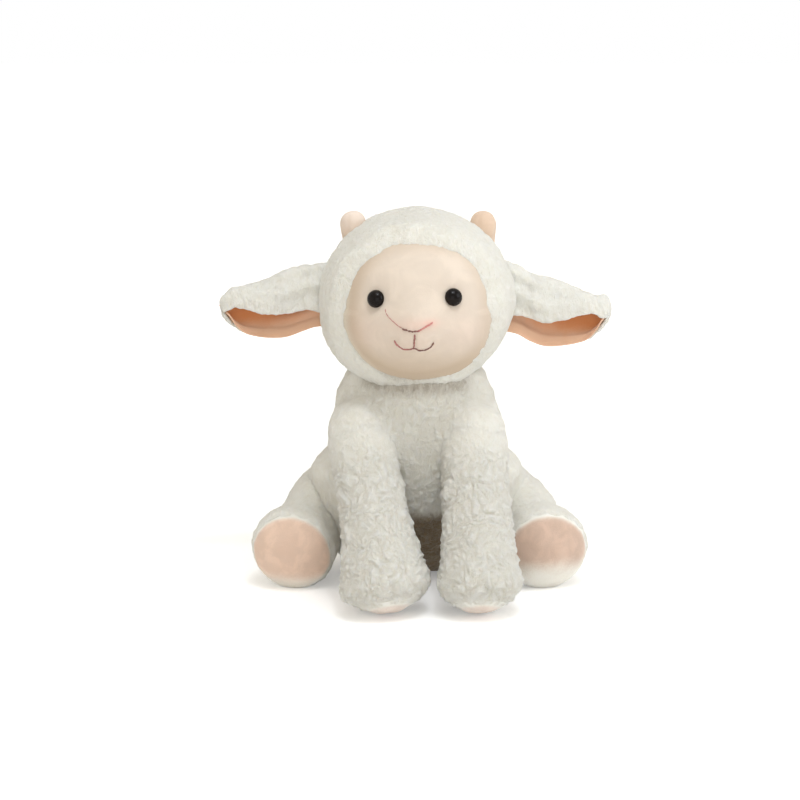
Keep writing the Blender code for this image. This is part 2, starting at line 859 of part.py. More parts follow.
def tail_form():
    """A flat drop that hangs from its seam and is fullest near its end."""
    along = (tail_end - tail_root).normalized()
    back = along.cross(Vector((1, 0, 0))).normalized()
    rings = []
    for step in range(1, tail_rings):
        share = step / tail_rings
        size = math.sin(math.pi * share**tail_low_power) ** tail_blunt_power
        centre = tail_root + (tail_end - tail_root) * share
        across = Vector((tail_half_width * size, 0, 0))
        rings.append(oval(centre, across, back * tail_half_thickness * size, tail_segments))
    return skin(rings, tail_root, tail_end)


tail_carrier = joint_empty("tail_seam", tail_root)
tail = part("tail", tail_form(), "fleece", tail_carrier)
body_room = guide("body_room", body_form())
drawn_in(body_room, -gap)
body_room_mesh = finished_mesh(body_room)
cut_at_once(tail, turned_copies("tail_room", body_room_mesh, tail_root, Vector((1, 0, 0)), tail_turns))

for piece in parts.objects:
    if any(modifier.type == "BOOLEAN" for modifier in piece.modifiers):
        weld = piece.modifiers.new("Weld the cuts", "WELD")
        weld.merge_threshold = weld_distance
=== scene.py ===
"""Dresses the sitting plush lamb: fleece, velvet face, folded ears, eyes and stitching.

The lamb looks along -Y, its own left is +X, and it sits on the plane z = 0.
"""

import math

import bmesh
import bpy
from mathutils import Matrix, Vector, noise


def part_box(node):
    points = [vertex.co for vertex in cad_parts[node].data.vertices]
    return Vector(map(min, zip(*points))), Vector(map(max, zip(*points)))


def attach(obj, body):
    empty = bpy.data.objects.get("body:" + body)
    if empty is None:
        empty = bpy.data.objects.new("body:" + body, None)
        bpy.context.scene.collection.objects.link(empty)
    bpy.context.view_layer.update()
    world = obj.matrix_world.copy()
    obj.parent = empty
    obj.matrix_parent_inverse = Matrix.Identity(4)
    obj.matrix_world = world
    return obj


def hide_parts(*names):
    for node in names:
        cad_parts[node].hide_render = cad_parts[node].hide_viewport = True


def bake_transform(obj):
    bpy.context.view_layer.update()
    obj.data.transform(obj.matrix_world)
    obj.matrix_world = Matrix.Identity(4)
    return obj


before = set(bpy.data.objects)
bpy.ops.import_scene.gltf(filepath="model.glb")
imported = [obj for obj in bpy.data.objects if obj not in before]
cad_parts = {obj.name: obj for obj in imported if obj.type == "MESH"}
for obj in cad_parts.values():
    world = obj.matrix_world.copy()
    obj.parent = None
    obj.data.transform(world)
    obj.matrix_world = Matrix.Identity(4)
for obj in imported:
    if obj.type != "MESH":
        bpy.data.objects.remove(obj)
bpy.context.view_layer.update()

bl_info = {
    "name": "Plush lamb",
    "version": (1, 0, 0),
    "blender": (4, 5, 0),
    "location": "3D View > Sidebar > Lamb",
    "description": "Makes a sitting plush lamb with curly fleece, a velvet face and folded ears",
    "category": "Object",
}


# Forms shared with the solids, in metres

HEAD_CENTRE = Vector((0, 0.001, 0.203))
HEAD_RADIUS = 0.068
HEAD_HALF_HEIGHT = 0.064
MUZZLE_RISE = 0.007
MUZZLE_Z = 0.190
MUZZLE_HALF_WIDTH = 0.027
MUZZLE_HALF_HEIGHT = 0.021
FACE_HALF_WIDTH = 0.0480
FACE_HALF_HEIGHT = 0.0470
FACE_Z = 0.2035
FACE_TAPER = 0.06
BROW_POWER = 2.9
CHIN_POWER = 2.1
HOOD_BROW_POWER = 2.45

BODY_HEIGHT = 0.166
BODY_HALF_WIDTH = 0.078
BODY_HALF_DEPTH = 0.0555
BODY_BASE_Y = 0.043
BODY_LEAN = 0.045
BODY_STATIONS = (
    # height, width, depth, lean
    (0.000, 0.00, 0.00, 0.00),
    (0.002, 0.30, 0.34, 0.00),
    (0.010, 0.56, 0.60, 0.00),
    (0.045, 0.76, 0.78, 0.00),
    (0.130, 0.92, 0.93, 0.06),
    (0.250, 0.99, 1.00, 0.18),
    (0.390, 1.00, 1.00, 0.34),
    (0.530, 0.955, 0.95, 0.52),
    (0.660, 0.845, 0.87, 0.68),
    (0.780, 0.745, 0.80, 0.80),
    (0.880, 0.655, 0.75, 0.90),
    (0.950, 0.540, 0.66, 0.96),
    (1.000, 0.00, 0.00, 1.00),
)

EAR_ROOT = Vector((0.0679, 0.005, 0.208))
EAR_LENGTH = 0.071
EAR_HALF_HEIGHT = 0.0245
EAR_HALF_THICKNESS = 0.0095
EAR_DROP = 0.0100
EAR_STATIONS = (
    # length, height, thickness, drop, flap edge, rim
    (-0.12, 0.88, 0.72, 0.00, -0.72, -1.00),
    (0.04, 0.90, 0.76, 0.02, -0.56, -1.00),
    (0.16, 0.95, 0.90, 0.22, -0.46, -1.00),
    (0.34, 1.00, 1.00, 0.62, -0.35, -1.00),
    (0.54, 0.91, 1.00, 0.95, -0.18, -1.00),
    (0.74, 0.76, 0.90, 1.08, -0.02, -0.96),
    (0.84, 0.63, 0.76, 1.06, -0.04, -0.74),
    (0.90, 0.55, 0.62, 1.03, -0.22, -0.40),
    (0.95, 0.45, 0.50, 1.00, -0.36, -0.38),
    (0.98, 0.34, 0.38, 0.98, -0.40, -0.41),
    (0.997, 0.18, 0.20, 0.97, -0.40, -0.41),
    (1.00, 0.02, 0.03, 0.97, -0.40, -0.41),
)

FLEECE_NODES = ("body_cover", "body_filling", "pellet_pouch")


class LambSizes(bpy.types.PropertyGroup):
    """Sizes of the pile and of the details that carry it"""

    short_pile: bpy.props.FloatProperty(
        name="Short pile", description="How far the short fleece of head, haunches and back stands out",
        default=0.0012, min=0, unit="LENGTH",
    )
    long_pile: bpy.props.FloatProperty(
        name="Long pile", description="How far the curls of the chest and front legs stand out",
        default=0.0038, min=0, unit="LENGTH",
    )
    short_curl: bpy.props.FloatProperty(
        name="Short curl", description="Width of a soft hummock of the short fleece",
        default=0.0140, min=0.001, unit="LENGTH",
    )
    long_curl: bpy.props.FloatProperty(
        name="Long curl", description="Width of a tuft of the long fleece",
        default=0.0092, min=0.001, unit="LENGTH",
    )
    even_mesh: bpy.props.FloatProperty(
        name="Even mesh", description="Spacing of the mesh that a cover starts from",
        default=0.0032, min=0.001, unit="LENGTH",
    )
    swell: bpy.props.FloatProperty(
        name="Swell", description="How far the stuffing may push a cover out",
        default=0.0022, min=0, unit="LENGTH",
    )
    rim_rise: bpy.props.FloatProperty(
        name="Rim rise", description="How far the fleece stands over the edge of the face",
        default=0.0038, min=0, unit="LENGTH",
    )
    thread: bpy.props.FloatProperty(
        name="Thread", description="Half thickness of the embroidery thread",
        default=0.0007, min=0.0001, unit="LENGTH",
    )
    eye: bpy.props.FloatProperty(
        name="Eye", description="Radius of an eye", default=0.0060, min=0.001, unit="LENGTH",
    )


class LambColours(bpy.types.PropertyGroup):
    """Colours of the lamb's fabrics"""

    fleece: bpy.props.FloatVectorProperty(
        name="Fleece", description="Colour of the fleece on the back of a tuft",
        default=(0.925, 0.915, 0.850), size=3, min=0, max=1, subtype="COLOR",
    )
    # painted shade: the darker, warmer tone that the fleece is painted with in its partings and where its pile is low
    fleece_parting_shade: bpy.props.FloatVectorProperty(
        name="Fleece depth", description="Colour of the fleece in the partings",
        default=(0.640, 0.575, 0.430), size=3, min=0, max=1, subtype="COLOR",
    )
    # painted shadow: the near-brown that the fleece is painted with under the chin and low between the front legs
    fleece_shadow: bpy.props.FloatVectorProperty(
        name="Fleece, deepest", description="Colour of the fleece low between the legs and under the chin",
        default=(0.230, 0.160, 0.085), size=3, min=0, max=1, subtype="COLOR",
    )
    face: bpy.props.FloatVectorProperty(
        name="Face", description="Colour of the face panel",
        default=(0.775, 0.665, 0.560), size=3, min=0, max=1, subtype="COLOR",
    )
    # painted shade: the colour that the face panel is painted with under the chin, along its seam and on the cheek
    # turned from the light
    face_shade: bpy.props.FloatVectorProperty(
        name="Face shade", description="Colour of the face panel under the chin and along its seam",
        default=(0.540, 0.415, 0.295), size=3, min=0, max=1, subtype="COLOR",
    )
    blush: bpy.props.FloatVectorProperty(
        name="Blush", description="Colour of the nose and the cheeks",
        default=(0.86, 0.50, 0.42), size=3, min=0, max=1, subtype="COLOR",
    )
    lining: bpy.props.FloatVectorProperty(
        name="Ear lining", description="Colour of the lining of the ears at their lower edge",
        default=(0.77, 0.475, 0.325), size=3, min=0, max=1, subtype="COLOR",
    )
    # painted shade: the darker, deeper orange that the lining is painted with in the fold of the ear
    lining_fold_shade: bpy.props.FloatVectorProperty(
        name="Ear lining, inside", description="Colour of the lining deep in the fold of an ear",
        default=(0.70, 0.265, 0.100), size=3, min=0, max=1, subtype="COLOR",
    )
    pad: bpy.props.FloatVectorProperty(
        name="Foot pads", description="Colour of the foot pads and soles",
        default=(0.865, 0.635, 0.505), size=3, min=0, max=1, subtype="COLOR",
    )
    sole: bpy.props.FloatVectorProperty(
        name="Front soles", description="Colour of the soles of the front feet",
        default=(0.80, 0.66, 0.58), size=3, min=0, max=1, subtype="COLOR",
    )
    horn: bpy.props.FloatVectorProperty(
        name="Horns", description="Colour of the horns",
        default=(0.77, 0.585, 0.445), size=3, min=0, max=1, subtype="COLOR",
    )
    horn_pale: bpy.props.FloatVectorProperty(
        name="Worn horn", description="Colour of the horns where their velvet has paled",
        default=(0.84, 0.75, 0.68), size=3, min=0, max=1, subtype="COLOR",
    )
    thread: bpy.props.FloatVectorProperty(
        name="Thread", description="Colour of the embroidery",
        default=(0.150, 0.060, 0.045), size=3, min=0, max=1, subtype="COLOR",
    )
    thread_faded: bpy.props.FloatVectorProperty(
        name="Faded thread", description="Colour of the embroidery where it is faded",
        default=(0.56, 0.21, 0.19), size=3, min=0, max=1, subtype="COLOR",
    )
    eye: bpy.props.FloatVectorProperty(
        name="Eyes", description="Colour of the eyes",
        default=(0.005, 0.003, 0.002), size=3, min=0, max=1, subtype="COLOR",
    )


class LambStage(bpy.types.PropertyGroup):
    """Camera and light"""

    distance: bpy.props.FloatProperty(
        name="Distance", description="From the lamb to the camera", default=1.40, min=0.1, unit="LENGTH",
    )
    elevation: bpy.props.FloatProperty(
        name="Elevation", description="Camera above the horizon",
        default=math.radians(13), subtype="ANGLE",
    )
    aim_z: bpy.props.FloatProperty(
        name="Aim height", description="Height that the camera looks at", default=0.132, unit="LENGTH",
    )
    view_width: bpy.props.FloatProperty(
        name="View width", description="Width of the view at the lamb", default=0.56, min=0.1, unit="LENGTH",
    )
    shift: bpy.props.FloatProperty(
        name="Shift", description="Shift of the view to the side, as a share of its width", default=-0.02125,
    )
    sky: bpy.props.FloatProperty(
        name="Sky", description="Strength of the light from all round", default=0.575, min=0,
    )
    top: bpy.props.FloatProperty(
        name="Top light", description="Power of the lamps overhead", default=11.7, min=0, unit="POWER",
    )
    right: bpy.props.FloatProperty(
        name="Right light", description="Power of the lamp on the viewer's right", default=7.6, min=0,
        unit="POWER",
    )
    low: bpy.props.FloatProperty(
        name="Low light", description="Power of the lamp low on the viewer's left", default=0.7, min=0,
        unit="POWER",
    )
    front: bpy.props.FloatProperty(
        name="Front light", description="Power of the lamp low in front", default=2.9, min=0, unit="POWER",
    )


# Shader maths

class Field:
    """A value that varies over a surface: wraps an output socket, so that shader maths reads as Python."""

    def __init__(self, tree, socket):
        self.tree = tree
        self.socket = socket

    def node(self, kind, settings=None, inputs=None, output=0):
        """Any other node: its settings first, then what goes into its sockets."""
        made = self.tree.nodes.new(kind)
        for name, setting in (settings or {}).items():
            if name == "stops":
                ramp = made.color_ramp.elements
                while len(ramp) < len(setting):
                    ramp.new(0.5)
                for element, (position, colour) in zip(ramp, setting):
                    element.position = position
                    element.color = (*colour, 1)
            else:
                setattr(made, name, setting)
        for name, given in (inputs or {}).items():
            if isinstance(given, Field):
                self.tree.links.new(given.socket, made.inputs[name])
            else:
                made.inputs[name].default_value = given
        return Field(self.tree, made.outputs[output])

    def maths(self, operation, first, second=0.0):
        return self.node("ShaderNodeMath", {"operation": operation}, {0: first, 1: second})

    def __add__(self, other):
        return self.maths("ADD", self, other)

    def __radd__(self, other):
        return self.maths("ADD", other, self)

    def __sub__(self, other):
        return self.maths("SUBTRACT", self, other)

    def __rsub__(self, other):
        return self.maths("SUBTRACT", other, self)

    def __mul__(self, other):
        return self.maths("MULTIPLY", self, other)

    def __rmul__(self, other):
        return self.maths("MULTIPLY", other, self)

    def __pow__(self, other):
        return self.maths("POWER", self, other)

    def clear(self, low, high):
        """0 below the low value, 1 above the high one, and smooth between."""
        return self.node(
            "ShaderNodeMapRange", {"interpolation_type": "SMOOTHSTEP"}, {0: self, 1: low, 2: high}
        )

    def tinted(self, first, second):
        """A colour between two, at this share of the way."""
        pick = {"data_type": "RGBA"}
        return self.node("ShaderNodeMix", pick, {0: self, 6: colour_of(first), 7: colour_of(second)}, 2)


def colour_of(given):
    return given if isinstance(given, Field) else (*given, 1)


def new_material(name, roughness, sheen=0.0, coat=0.0, loft=0.0):
    """A material with its constant finish, and the field that its patterns start from."""
    material = bpy.data.materials.new(name)
    material.use_nodes = True
    shader = material.node_tree.nodes["Principled BSDF"]
    shader.inputs["Roughness"].default_value = roughness
    shader.inputs["Sheen Weight"].default_value = sheen
    shader.inputs["Sheen Roughness"].default_value = 0.45
    shader.inputs["Subsurface Weight"].default_value = loft
    shader.inputs["Subsurface Radius"].default_value = (1.0, 0.9, 0.75)
    shader.inputs["Subsurface Scale"].default_value = 0.004
    shader.inputs["Coat Weight"].default_value = coat
    shader.inputs["Coat Roughness"].default_value = 0.03
    place = material.node_tree.nodes.new("ShaderNodeTexCoord").outputs["Object"]
    return material, shader, Field(material.node_tree, place)


def grain(place, scale, detail=2.0, distortion=0.0):
    """Fine noise, from 0 to 1, at so many grains a metre."""
    return place.node(
        "ShaderNodeTexNoise", None,
        {"Vector": place, "Scale": scale, "Detail": detail, "Roughness": 0.6, "Distortion": distortion},
    )


def feed(shader, socket, field):
    field.tree.links.new(field.socket, shader.inputs[socket])


def bumped(shader, height, strength, distance):
    normal = height.node(
        "ShaderNodeBump", None, {"Strength": strength, "Distance": distance, "Height": height}
    )
    feed(shader, "Normal", normal)


def attribute(place, name):
    return place.node("ShaderNodeAttribute", {"attribute_name": name}, None, 2)


def fleece_material(name, colours):
    """Off-white pile, painted darker and warmer as shade in its partings and darker still where the deep attribute
    paints shade, with fine curly fibres that hang down.
    """
    material, shader, place = new_material(name, 0.95, sheen=0.35, loft=0.40)
    pile = attribute(place, "pile")
    mottle = grain(place, 42.0, 3.0)
    hung = place.node("ShaderNodeMapping", None, {"Vector": place, "Scale": (1.0, 1.0, 0.38)})
    fibre = grain(hung, 1150.0, 3.0, 1.4)
    lock = grain(hung, 330.0, 2.0, 1.0)
    curl = (grain(place, 560.0, 1.0, 2.2) - 0.5) * attribute(place, "long")
    share = pile * 0.76 + fibre.clear(0.25, 0.75) * 0.22 + lock * 0.16 + mottle * 0.12 - 0.08
    light = share + curl * 0.55 + attribute(place, "long") * 0.16
    # painted shade: where the pile is low, in the partings, the colour falls towards the parting shade
    colour = light.clear(-0.15, 1.0).tinted(colours.fleece_parting_shade, colours.fleece)
    # painted shadow: the deep attribute turns the colour towards the fleece's shadow colour
    deep = (attribute(place, "deep") + (lock - 0.5) * 0.4 + (fibre - 0.5) * 0.3).clear(0.20, 1.0)
    feed(shader, "Base Color", deep.tinted(colour, colours.fleece_shadow))
    bumped(shader, fibre + lock * 1.2 + curl * 2.2, 0.85, 0.0015)
    return material


def lining_material(name, colours):
    """The ear lining's velvet: peach at the lower edge, painted darker and deeper orange as shade where it lies in
    the fold.
    """
    material, shader, place = new_material(name, 0.88, sheen=0.20, loft=0.20)
    brushed = grain(place, 70.0, 3.0, 0.6)
    fibre = grain(place, 1700.0, 2.0)
    # painted shade: depth turns the lining towards its fold shade
    depth = (attribute(place, "depth") + (brushed - 0.5) * 0.5 + (fibre - 0.5) * 0.25).clear(0.0, 1.0)
    feed(shader, "Base Color", depth.tinted(colours.lining, colours.lining_fold_shade))
    bumped(shader, fibre + brushed * 1.5, 0.30, 0.0006)
    return material


def pad_material(name, colours, colour):
    """The velvet of a pad or sole, paler where the fleece's pile is combed over its seam and where it is worn."""
    material, shader, place = new_material(name, 0.90, sheen=0.30, loft=0.30)
    brushed = grain(place, 75.0, 3.0, 0.6)
    fibre = grain(place, 1500.0, 2.0)
    shade = tuple(value * 0.86 for value in colour)
    velvet = (brushed.clear(0.35, 0.72) * 0.55 + fibre * 0.45).clear(0.05, 0.85).tinted(shade, colour)
    pale = tuple(depth * 0.14 + top * 0.86 for depth, top in zip(colours.fleece_parting_shade, colours.fleece))
    over = (attribute(place, "pale") + (fibre - 0.5) * 0.5 + (brushed - 0.5) * 0.3).clear(0.05, 0.95)
    feed(shader, "Base Color", over.tinted(velvet, pale))
    bumped(shader, fibre + brushed * 1.5, 0.35, 0.0007)
    return material


def horn_material(name, colours):
    """Short-cut pile that is brushed in soft patches, and paled on one horn."""
    material, shader, place = new_material(name, 0.85, sheen=0.30, loft=0.25)
    brushed = grain(place, 55.0, 3.0, 0.6)
    fibre = grain(place, 1700.0, 2.0)
    share = (brushed.clear(0.35, 0.72) * 0.55 + fibre * 0.45).clear(0.05, 0.85)
    velvet = share.tinted(tuple(value * 0.90 for value in colours.horn), colours.horn)
    worn = (attribute(place, "pale") * (0.6 + brushed * 0.8)).clear(0.0, 1.0)
    feed(shader, "Base Color", worn.tinted(velvet, colours.horn_pale))
    bumped(shader, fibre + brushed * 1.5, 0.30, 0.0006)
    return material


def face_material(name, colours):
    """The face's velvet, with a blush where the face carries one."""
    material, shader, place = new_material(name, 0.85, sheen=0.30, loft=0.25)
    brushed = grain(place, 48.0, 3.0, 0.6)
    fibre = grain(place, 1700.0, 2.0)
    shade = tuple(value * 0.90 for value in colours.face)
    base = (brushed.clear(0.35, 0.72) * 0.5 + fibre * 0.4).clear(0.05, 0.8).tinted(shade, colours.face)
    # painted shade from the shade attribute: darker under the chin and along the seam
    shaded = attribute(place, "shade").tinted(base, colours.face_shade)
    blushed = attribute(place, "blush").tinted(shaded, colours.blush)
    pale = tuple(depth * 0.60 + top * 0.40 for depth, top in zip(colours.fleece_parting_shade, colours.fleece))
    over = (attribute(place, "over") + (fibre - 0.5) * 0.4 + (brushed - 0.5) * 0.3).clear(0.15, 1.0)
    feed(shader, "Base Color", over.tinted(blushed, pale))
    bumped(shader, fibre + brushed * 1.5, 0.28, 0.0006)
    return material


def thread_material(name, colour, pale):
    """Satin thread with the lay of its twist, dark at one end of the embroidery and faded at the other."""
    material, shader, place = new_material(name, 0.50, sheen=0.2)
    twist = grain(place, 2600.0, 1.0, 0.3)
    faded = (attribute(place, "faded") + (twist - 0.5) * 0.5).clear(0.0, 1.0)
    feed(shader, "Base Color", faded.tinted(colour, pale))
    bumped(shader, twist, 0.35, 0.0003)
    return material


def eye_material(name, colour):
    """Near-black moulded plastic with a trace of brown, polished."""
    material, shader, place = new_material(name, 0.08)
    shader.inputs["Specular IOR Level"].default_value = 0.13
    cloud = grain(place, 160.0, 2.0)
    brown = tuple(value * 3.2 for value in colour)
    feed(shader, "Base Color", cloud.clear(0.4, 0.8).tinted(colour, brown))
    return material


def plastic_material(name, colour):
    """Plain moulded plastic with a fine grain."""
    material, shader, place = new_material(name, 0.5)
    spots = grain(place, 900.0, 2.0)
    dark = tuple(value * 0.85 for value in colour)
    feed(shader, "Base Color", spots.clear(0.3, 0.8).tinted(dark, colour))
    bumped(shader, spots, 0.2, 0.0003)
    return material


# Meshes

def smooth_read(stations, share):
    """Reads a smooth curve through a row of stations, of numbers or of vectors, at a share of the way."""
    position = min(max(share, 0.0), 1.0) * (len(stations) - 1)
    index = min(int(position), len(stations) - 2)
    t = position - index
    before = stations[max(index - 1, 0)]
    near, far = stations[index], stations[index + 1]
    after = stations[min(index + 2, len(stations) - 1)]
    read = []
    for a, b, c, d in zip(before, near, far, after):
        bend = (2 * a - 5 * b + 4 * c - d) * t**2 + (3 * b - a - 3 * c + d) * t**3
        read.append(b + ((c - a) * t + bend) * 0.5)
    return read


def smooth_step(low, high, value):
    share = min(max((value - low) / (high - low), 0.0), 1.0)
    return share * share * (3 - 2 * share)


def laid_sphere(around, along, place):
    """A sphere whose rings are laid along a form: place gives the point for a turn and a share from pole to pole."""
    shape = bmesh.new()
    bmesh.ops.create_uvsphere(shape, u_segments=around, v_segments=along, radius=1)
    for vertex in shape.verts:
        turn = math.atan2(vertex.co.y, vertex.co.x)
        share = math.acos(min(max(-vertex.co.z, -1.0), 1.0)) / math.pi
        vertex.co = place(turn, share)
    bmesh.ops.recalc_face_normals(shape, faces=shape.faces)
    return shape


def ringed(rings):
    """A point on a form that runs through rings of a centre and two half-axes."""
    def place(turn, share):
        centre, across, up = smooth_read(rings, share)
        return centre + across * math.cos(turn) + up * math.sin(turn)
    return place


def add_piece(name, shape, material):
    """A piece from a bmesh in world coordinates."""
    mesh = bpy.data.meshes.new(name)
    shape.to_mesh(mesh)
    shape.free()
    mesh.shade_smooth()
    mesh.materials.append(material)
    piece = bpy.data.objects.new(name, mesh)
    bpy.context.scene.collection.objects.link(piece)
    return piece


def applied(piece):
    """Puts what the modifiers make in place of the piece's mesh."""
    graph = bpy.context.evaluated_depsgraph_get()
    made = bpy.data.meshes.new_from_object(piece.evaluated_get(graph))
    piece.modifiers.clear()
    piece.data = made
    made.shade_smooth()


def subdivided(piece, levels):
    finer = piece.modifiers.new("Finer", "SUBSURF")
    finer.levels = levels
    finer.render_levels = levels
    applied(piece)


def inflated(piece, most):
    """Presses a cover out with its stuffing, as cloth under pressure, no point further than the cap."""
    start = [vertex.co.copy() for vertex in piece.data.vertices]
    cloth = piece.modifiers.new("Stuffing", "CLOTH")
    cloth.settings.use_pressure = True
    cloth.settings.uniform_pressure_force = 4
    cloth.settings.effector_weights.gravity = 0
    cloth.point_cache.frame_end = 20
    scene = bpy.context.scene
    for number in range(1, 21):
        scene.frame_set(number)
    applied(piece)
    scene.frame_set(1)
    for vertex, first in zip(piece.data.vertices, start):
        step = vertex.co - first
        if step.length > most:
            vertex.co = first + step * (most / step.length)


def stuffed(name, shape, material, sizes, voxel_share=1.0, rounded=None):
    """A stuffed cover: an even mesh, pressed out by its stuffing and made finer for its pile."""
    piece = add_piece(name, shape, material)
    even = piece.modifiers.new("Even mesh", "REMESH")
    even.mode = "VOXEL"
    even.voxel_size = sizes.even_mesh * voxel_share
    applied(piece)
    if rounded:
        rounded(piece)
    drawn = [vertex.co - vertex.normal * sizes.swell * 0.6 for vertex in piece.data.vertices]
    for vertex, place in zip(piece.data.vertices, drawn):
        vertex.co = place
    inflated(piece, sizes.swell)
    subdivided(piece, 2)
    return piece


# Pile

def tuft(place, width, seed):
    """A tuft's height from 0 in a parting to 1 on its back: soft domes in two sizes, with locks that hang down."""
    offset = Vector((seed * 3.1, seed * 1.7, seed * 5.3))
    swirl = noise.noise_vector(place / (width * 1.5) + offset) * 0.8
    near, far = noise.voronoi(place / width + swirl + offset)[0][:2]
    large = smooth_step(0.0, 0.70, far - near)
    near, far = noise.voronoi(place / (width * 0.50) + swirl * 1.5 - offset)[0][:2]
    small = smooth_step(0.0, 0.75, far - near)
    hung = Vector((place.x, place.y, place.z * 0.45)) / (width * 0.26) + swirl * 2.4
    lock = 0.5 + 0.5 * noise.noise(hung)
    return large * 0.42 + small * 0.32 + lock * 0.26


def nap(place, width, seed):
    """The short pile's height: slow hummocks, and a fine nap."""
    offset = Vector((seed * 2.3, seed * 4.1, seed * 1.9))
    slow = noise.noise(place / width + offset)
    middle = noise.noise(place / (width * 0.34) - offset)
    swirl = noise.noise_vector(place / (width * 0.8) - offset)
    fine = noise.noise(Vector((place.x, place.y, place.z * 0.6)) / (width * 0.15) + swirl * 1.2)
    return slow, middle, fine


def grow_pile(piece, sizes, seed, lay):
    """Moves a cover's points into tufts. lay gives, for a point, its shift, how long its pile is, how full and
    its unshaded share, below 1 where shade is painted into its colour."""
    mesh = piece.data
    normals = [vertex.normal.copy() for vertex in mesh.vertices]
    pile, deep, long = (mesh.attributes.new(name, "FLOAT", "POINT") for name in ("pile", "deep", "long"))
    down = Vector((0, 0, -1))
    for vertex, normal in zip(mesh.vertices, normals):
        place = vertex.co.copy()
        shift, long_share, full, unshaded_share = lay(place, normal)
        height = 0.0
        shown = 0.0
        if full > 0 and long_share < 1:
            slow, middle, fine = nap(place, sizes.short_curl, seed)
            height += sizes.short_pile * (slow * 0.8 + middle * 0.5 + fine * 0.42) * (1 - long_share) * full
            shown += (0.76 + slow * 0.12 + middle * 0.13 + fine * 0.12) * (1 - long_share)
        if full > 0 and long_share > 0:
            back = tuft(place, sizes.long_curl, seed)
            height += sizes.long_pile * (back - 0.52) * long_share * full
            shown += (0.34 + back * 0.66) * long_share
        lean = down - normal * down.dot(normal)
        vertex.co = place + shift + normal * height + lean * max(height, 0.0) * 0.5 * long_share
        # pile is high on the backs of tufts and low in the partings and on hidden parts, where the fleece material
        # paints its parting shade
        pile.data[vertex.index].value = shown if full > 0 else 0.4
        # deep carries the painted shade: 1 less the point's unshaded share
        deep.data[vertex.index].value = 1 - unshaded_share
        long.data[vertex.index].value = long_share * full
    mesh.update()


# Head

FACE_TURN = -0.0018
EYES = {"left": Vector((0.0237, 0.2156)), "right": Vector((-0.0268, 0.2143))}


def muzzle_at(x, z):
    spread = ((x - FACE_TURN) / MUZZLE_HALF_WIDTH) ** 2 + ((z - MUZZLE_Z) / MUZZLE_HALF_HEIGHT) ** 2
    return MUZZLE_RISE * math.exp(-spread)


def face_reach(x, z, brow_power=BROW_POWER):
    """How far a point lies from the middle of the face in front view, and how far the edge lies that way."""
    up = z - FACE_Z
    away = math.hypot(x, up)
    if away == 0:
        return 0.0, FACE_HALF_HEIGHT
    power = brow_power if up > 0 else CHIN_POWER
    level = min(max(up / FACE_HALF_HEIGHT, -1.0), 1.0)
    width = FACE_HALF_WIDTH * (1 - FACE_TAPER * level)
    reach = ((abs(x) / away / width) ** power + (abs(up) / away / FACE_HALF_HEIGHT) ** power) ** (-1 / power)
    return away, reach


def bump_at(x, z, centre_x, centre_z, half_width, half_height):
    spread = ((x - centre_x) / half_width) ** 2 + ((z - centre_z) / half_height) ** 2
    return math.exp(-spread)


def face_y(x, z):
    """Where the front of the face lies, with its muzzle and cheeks, the hollows at eyes and mouth and its creases."""
    level = 1 - ((z - HEAD_CENTRE.z) / HEAD_HALF_HEIGHT) ** 2 - (x / HEAD_RADIUS) ** 2
    front = math.sqrt(max(level, 0.0))
    out = muzzle_at(x, z) * front
    out += 0.0012 * bump_at(x, z, FACE_TURN, 0.2035, 0.011, 0.009)
    for place in EYES.values():
        out -= 0.0017 * bump_at(x, z, place.x, place.y, 0.0085, 0.0080)
    for sign in (1, -1):
        out += 0.0010 * bump_at(x, z, FACE_TURN + sign * 0.033, 0.190, 0.013, 0.012)
        out += 0.0009 * bump_at(x, z, FACE_TURN + sign * 0.0080, 0.1888, 0.0062, 0.0045)
    out -= 0.0009 * bump_at(x, z, -0.0149, 0.1878, 0.0028, 0.0024)
    out -= 0.0009 * bump_at(x, z, 0.0107, 0.1862, 0.0028, 0.0024)
    out -= 0.0008 * bump_at(x, z, FACE_TURN, 0.1878, 0.0017, 0.0050)
    out += 0.0004 * noise.noise(Vector((x, z, 0.3)) / 0.016)
    return HEAD_CENTRE.y - HEAD_RADIUS * front - out


def face_normal(x, z):
    step = 0.0007
    slope_x = (face_y(x + step, z) - face_y(x - step, z)) / (2 * step)
    slope_z = (face_y(x, z + step) - face_y(x, z - step)) / (2 * step)
    return Vector((slope_x, -1, slope_z)).normalized()


def on_face(x, z):
    return Vector((x, face_y(x, z), z))


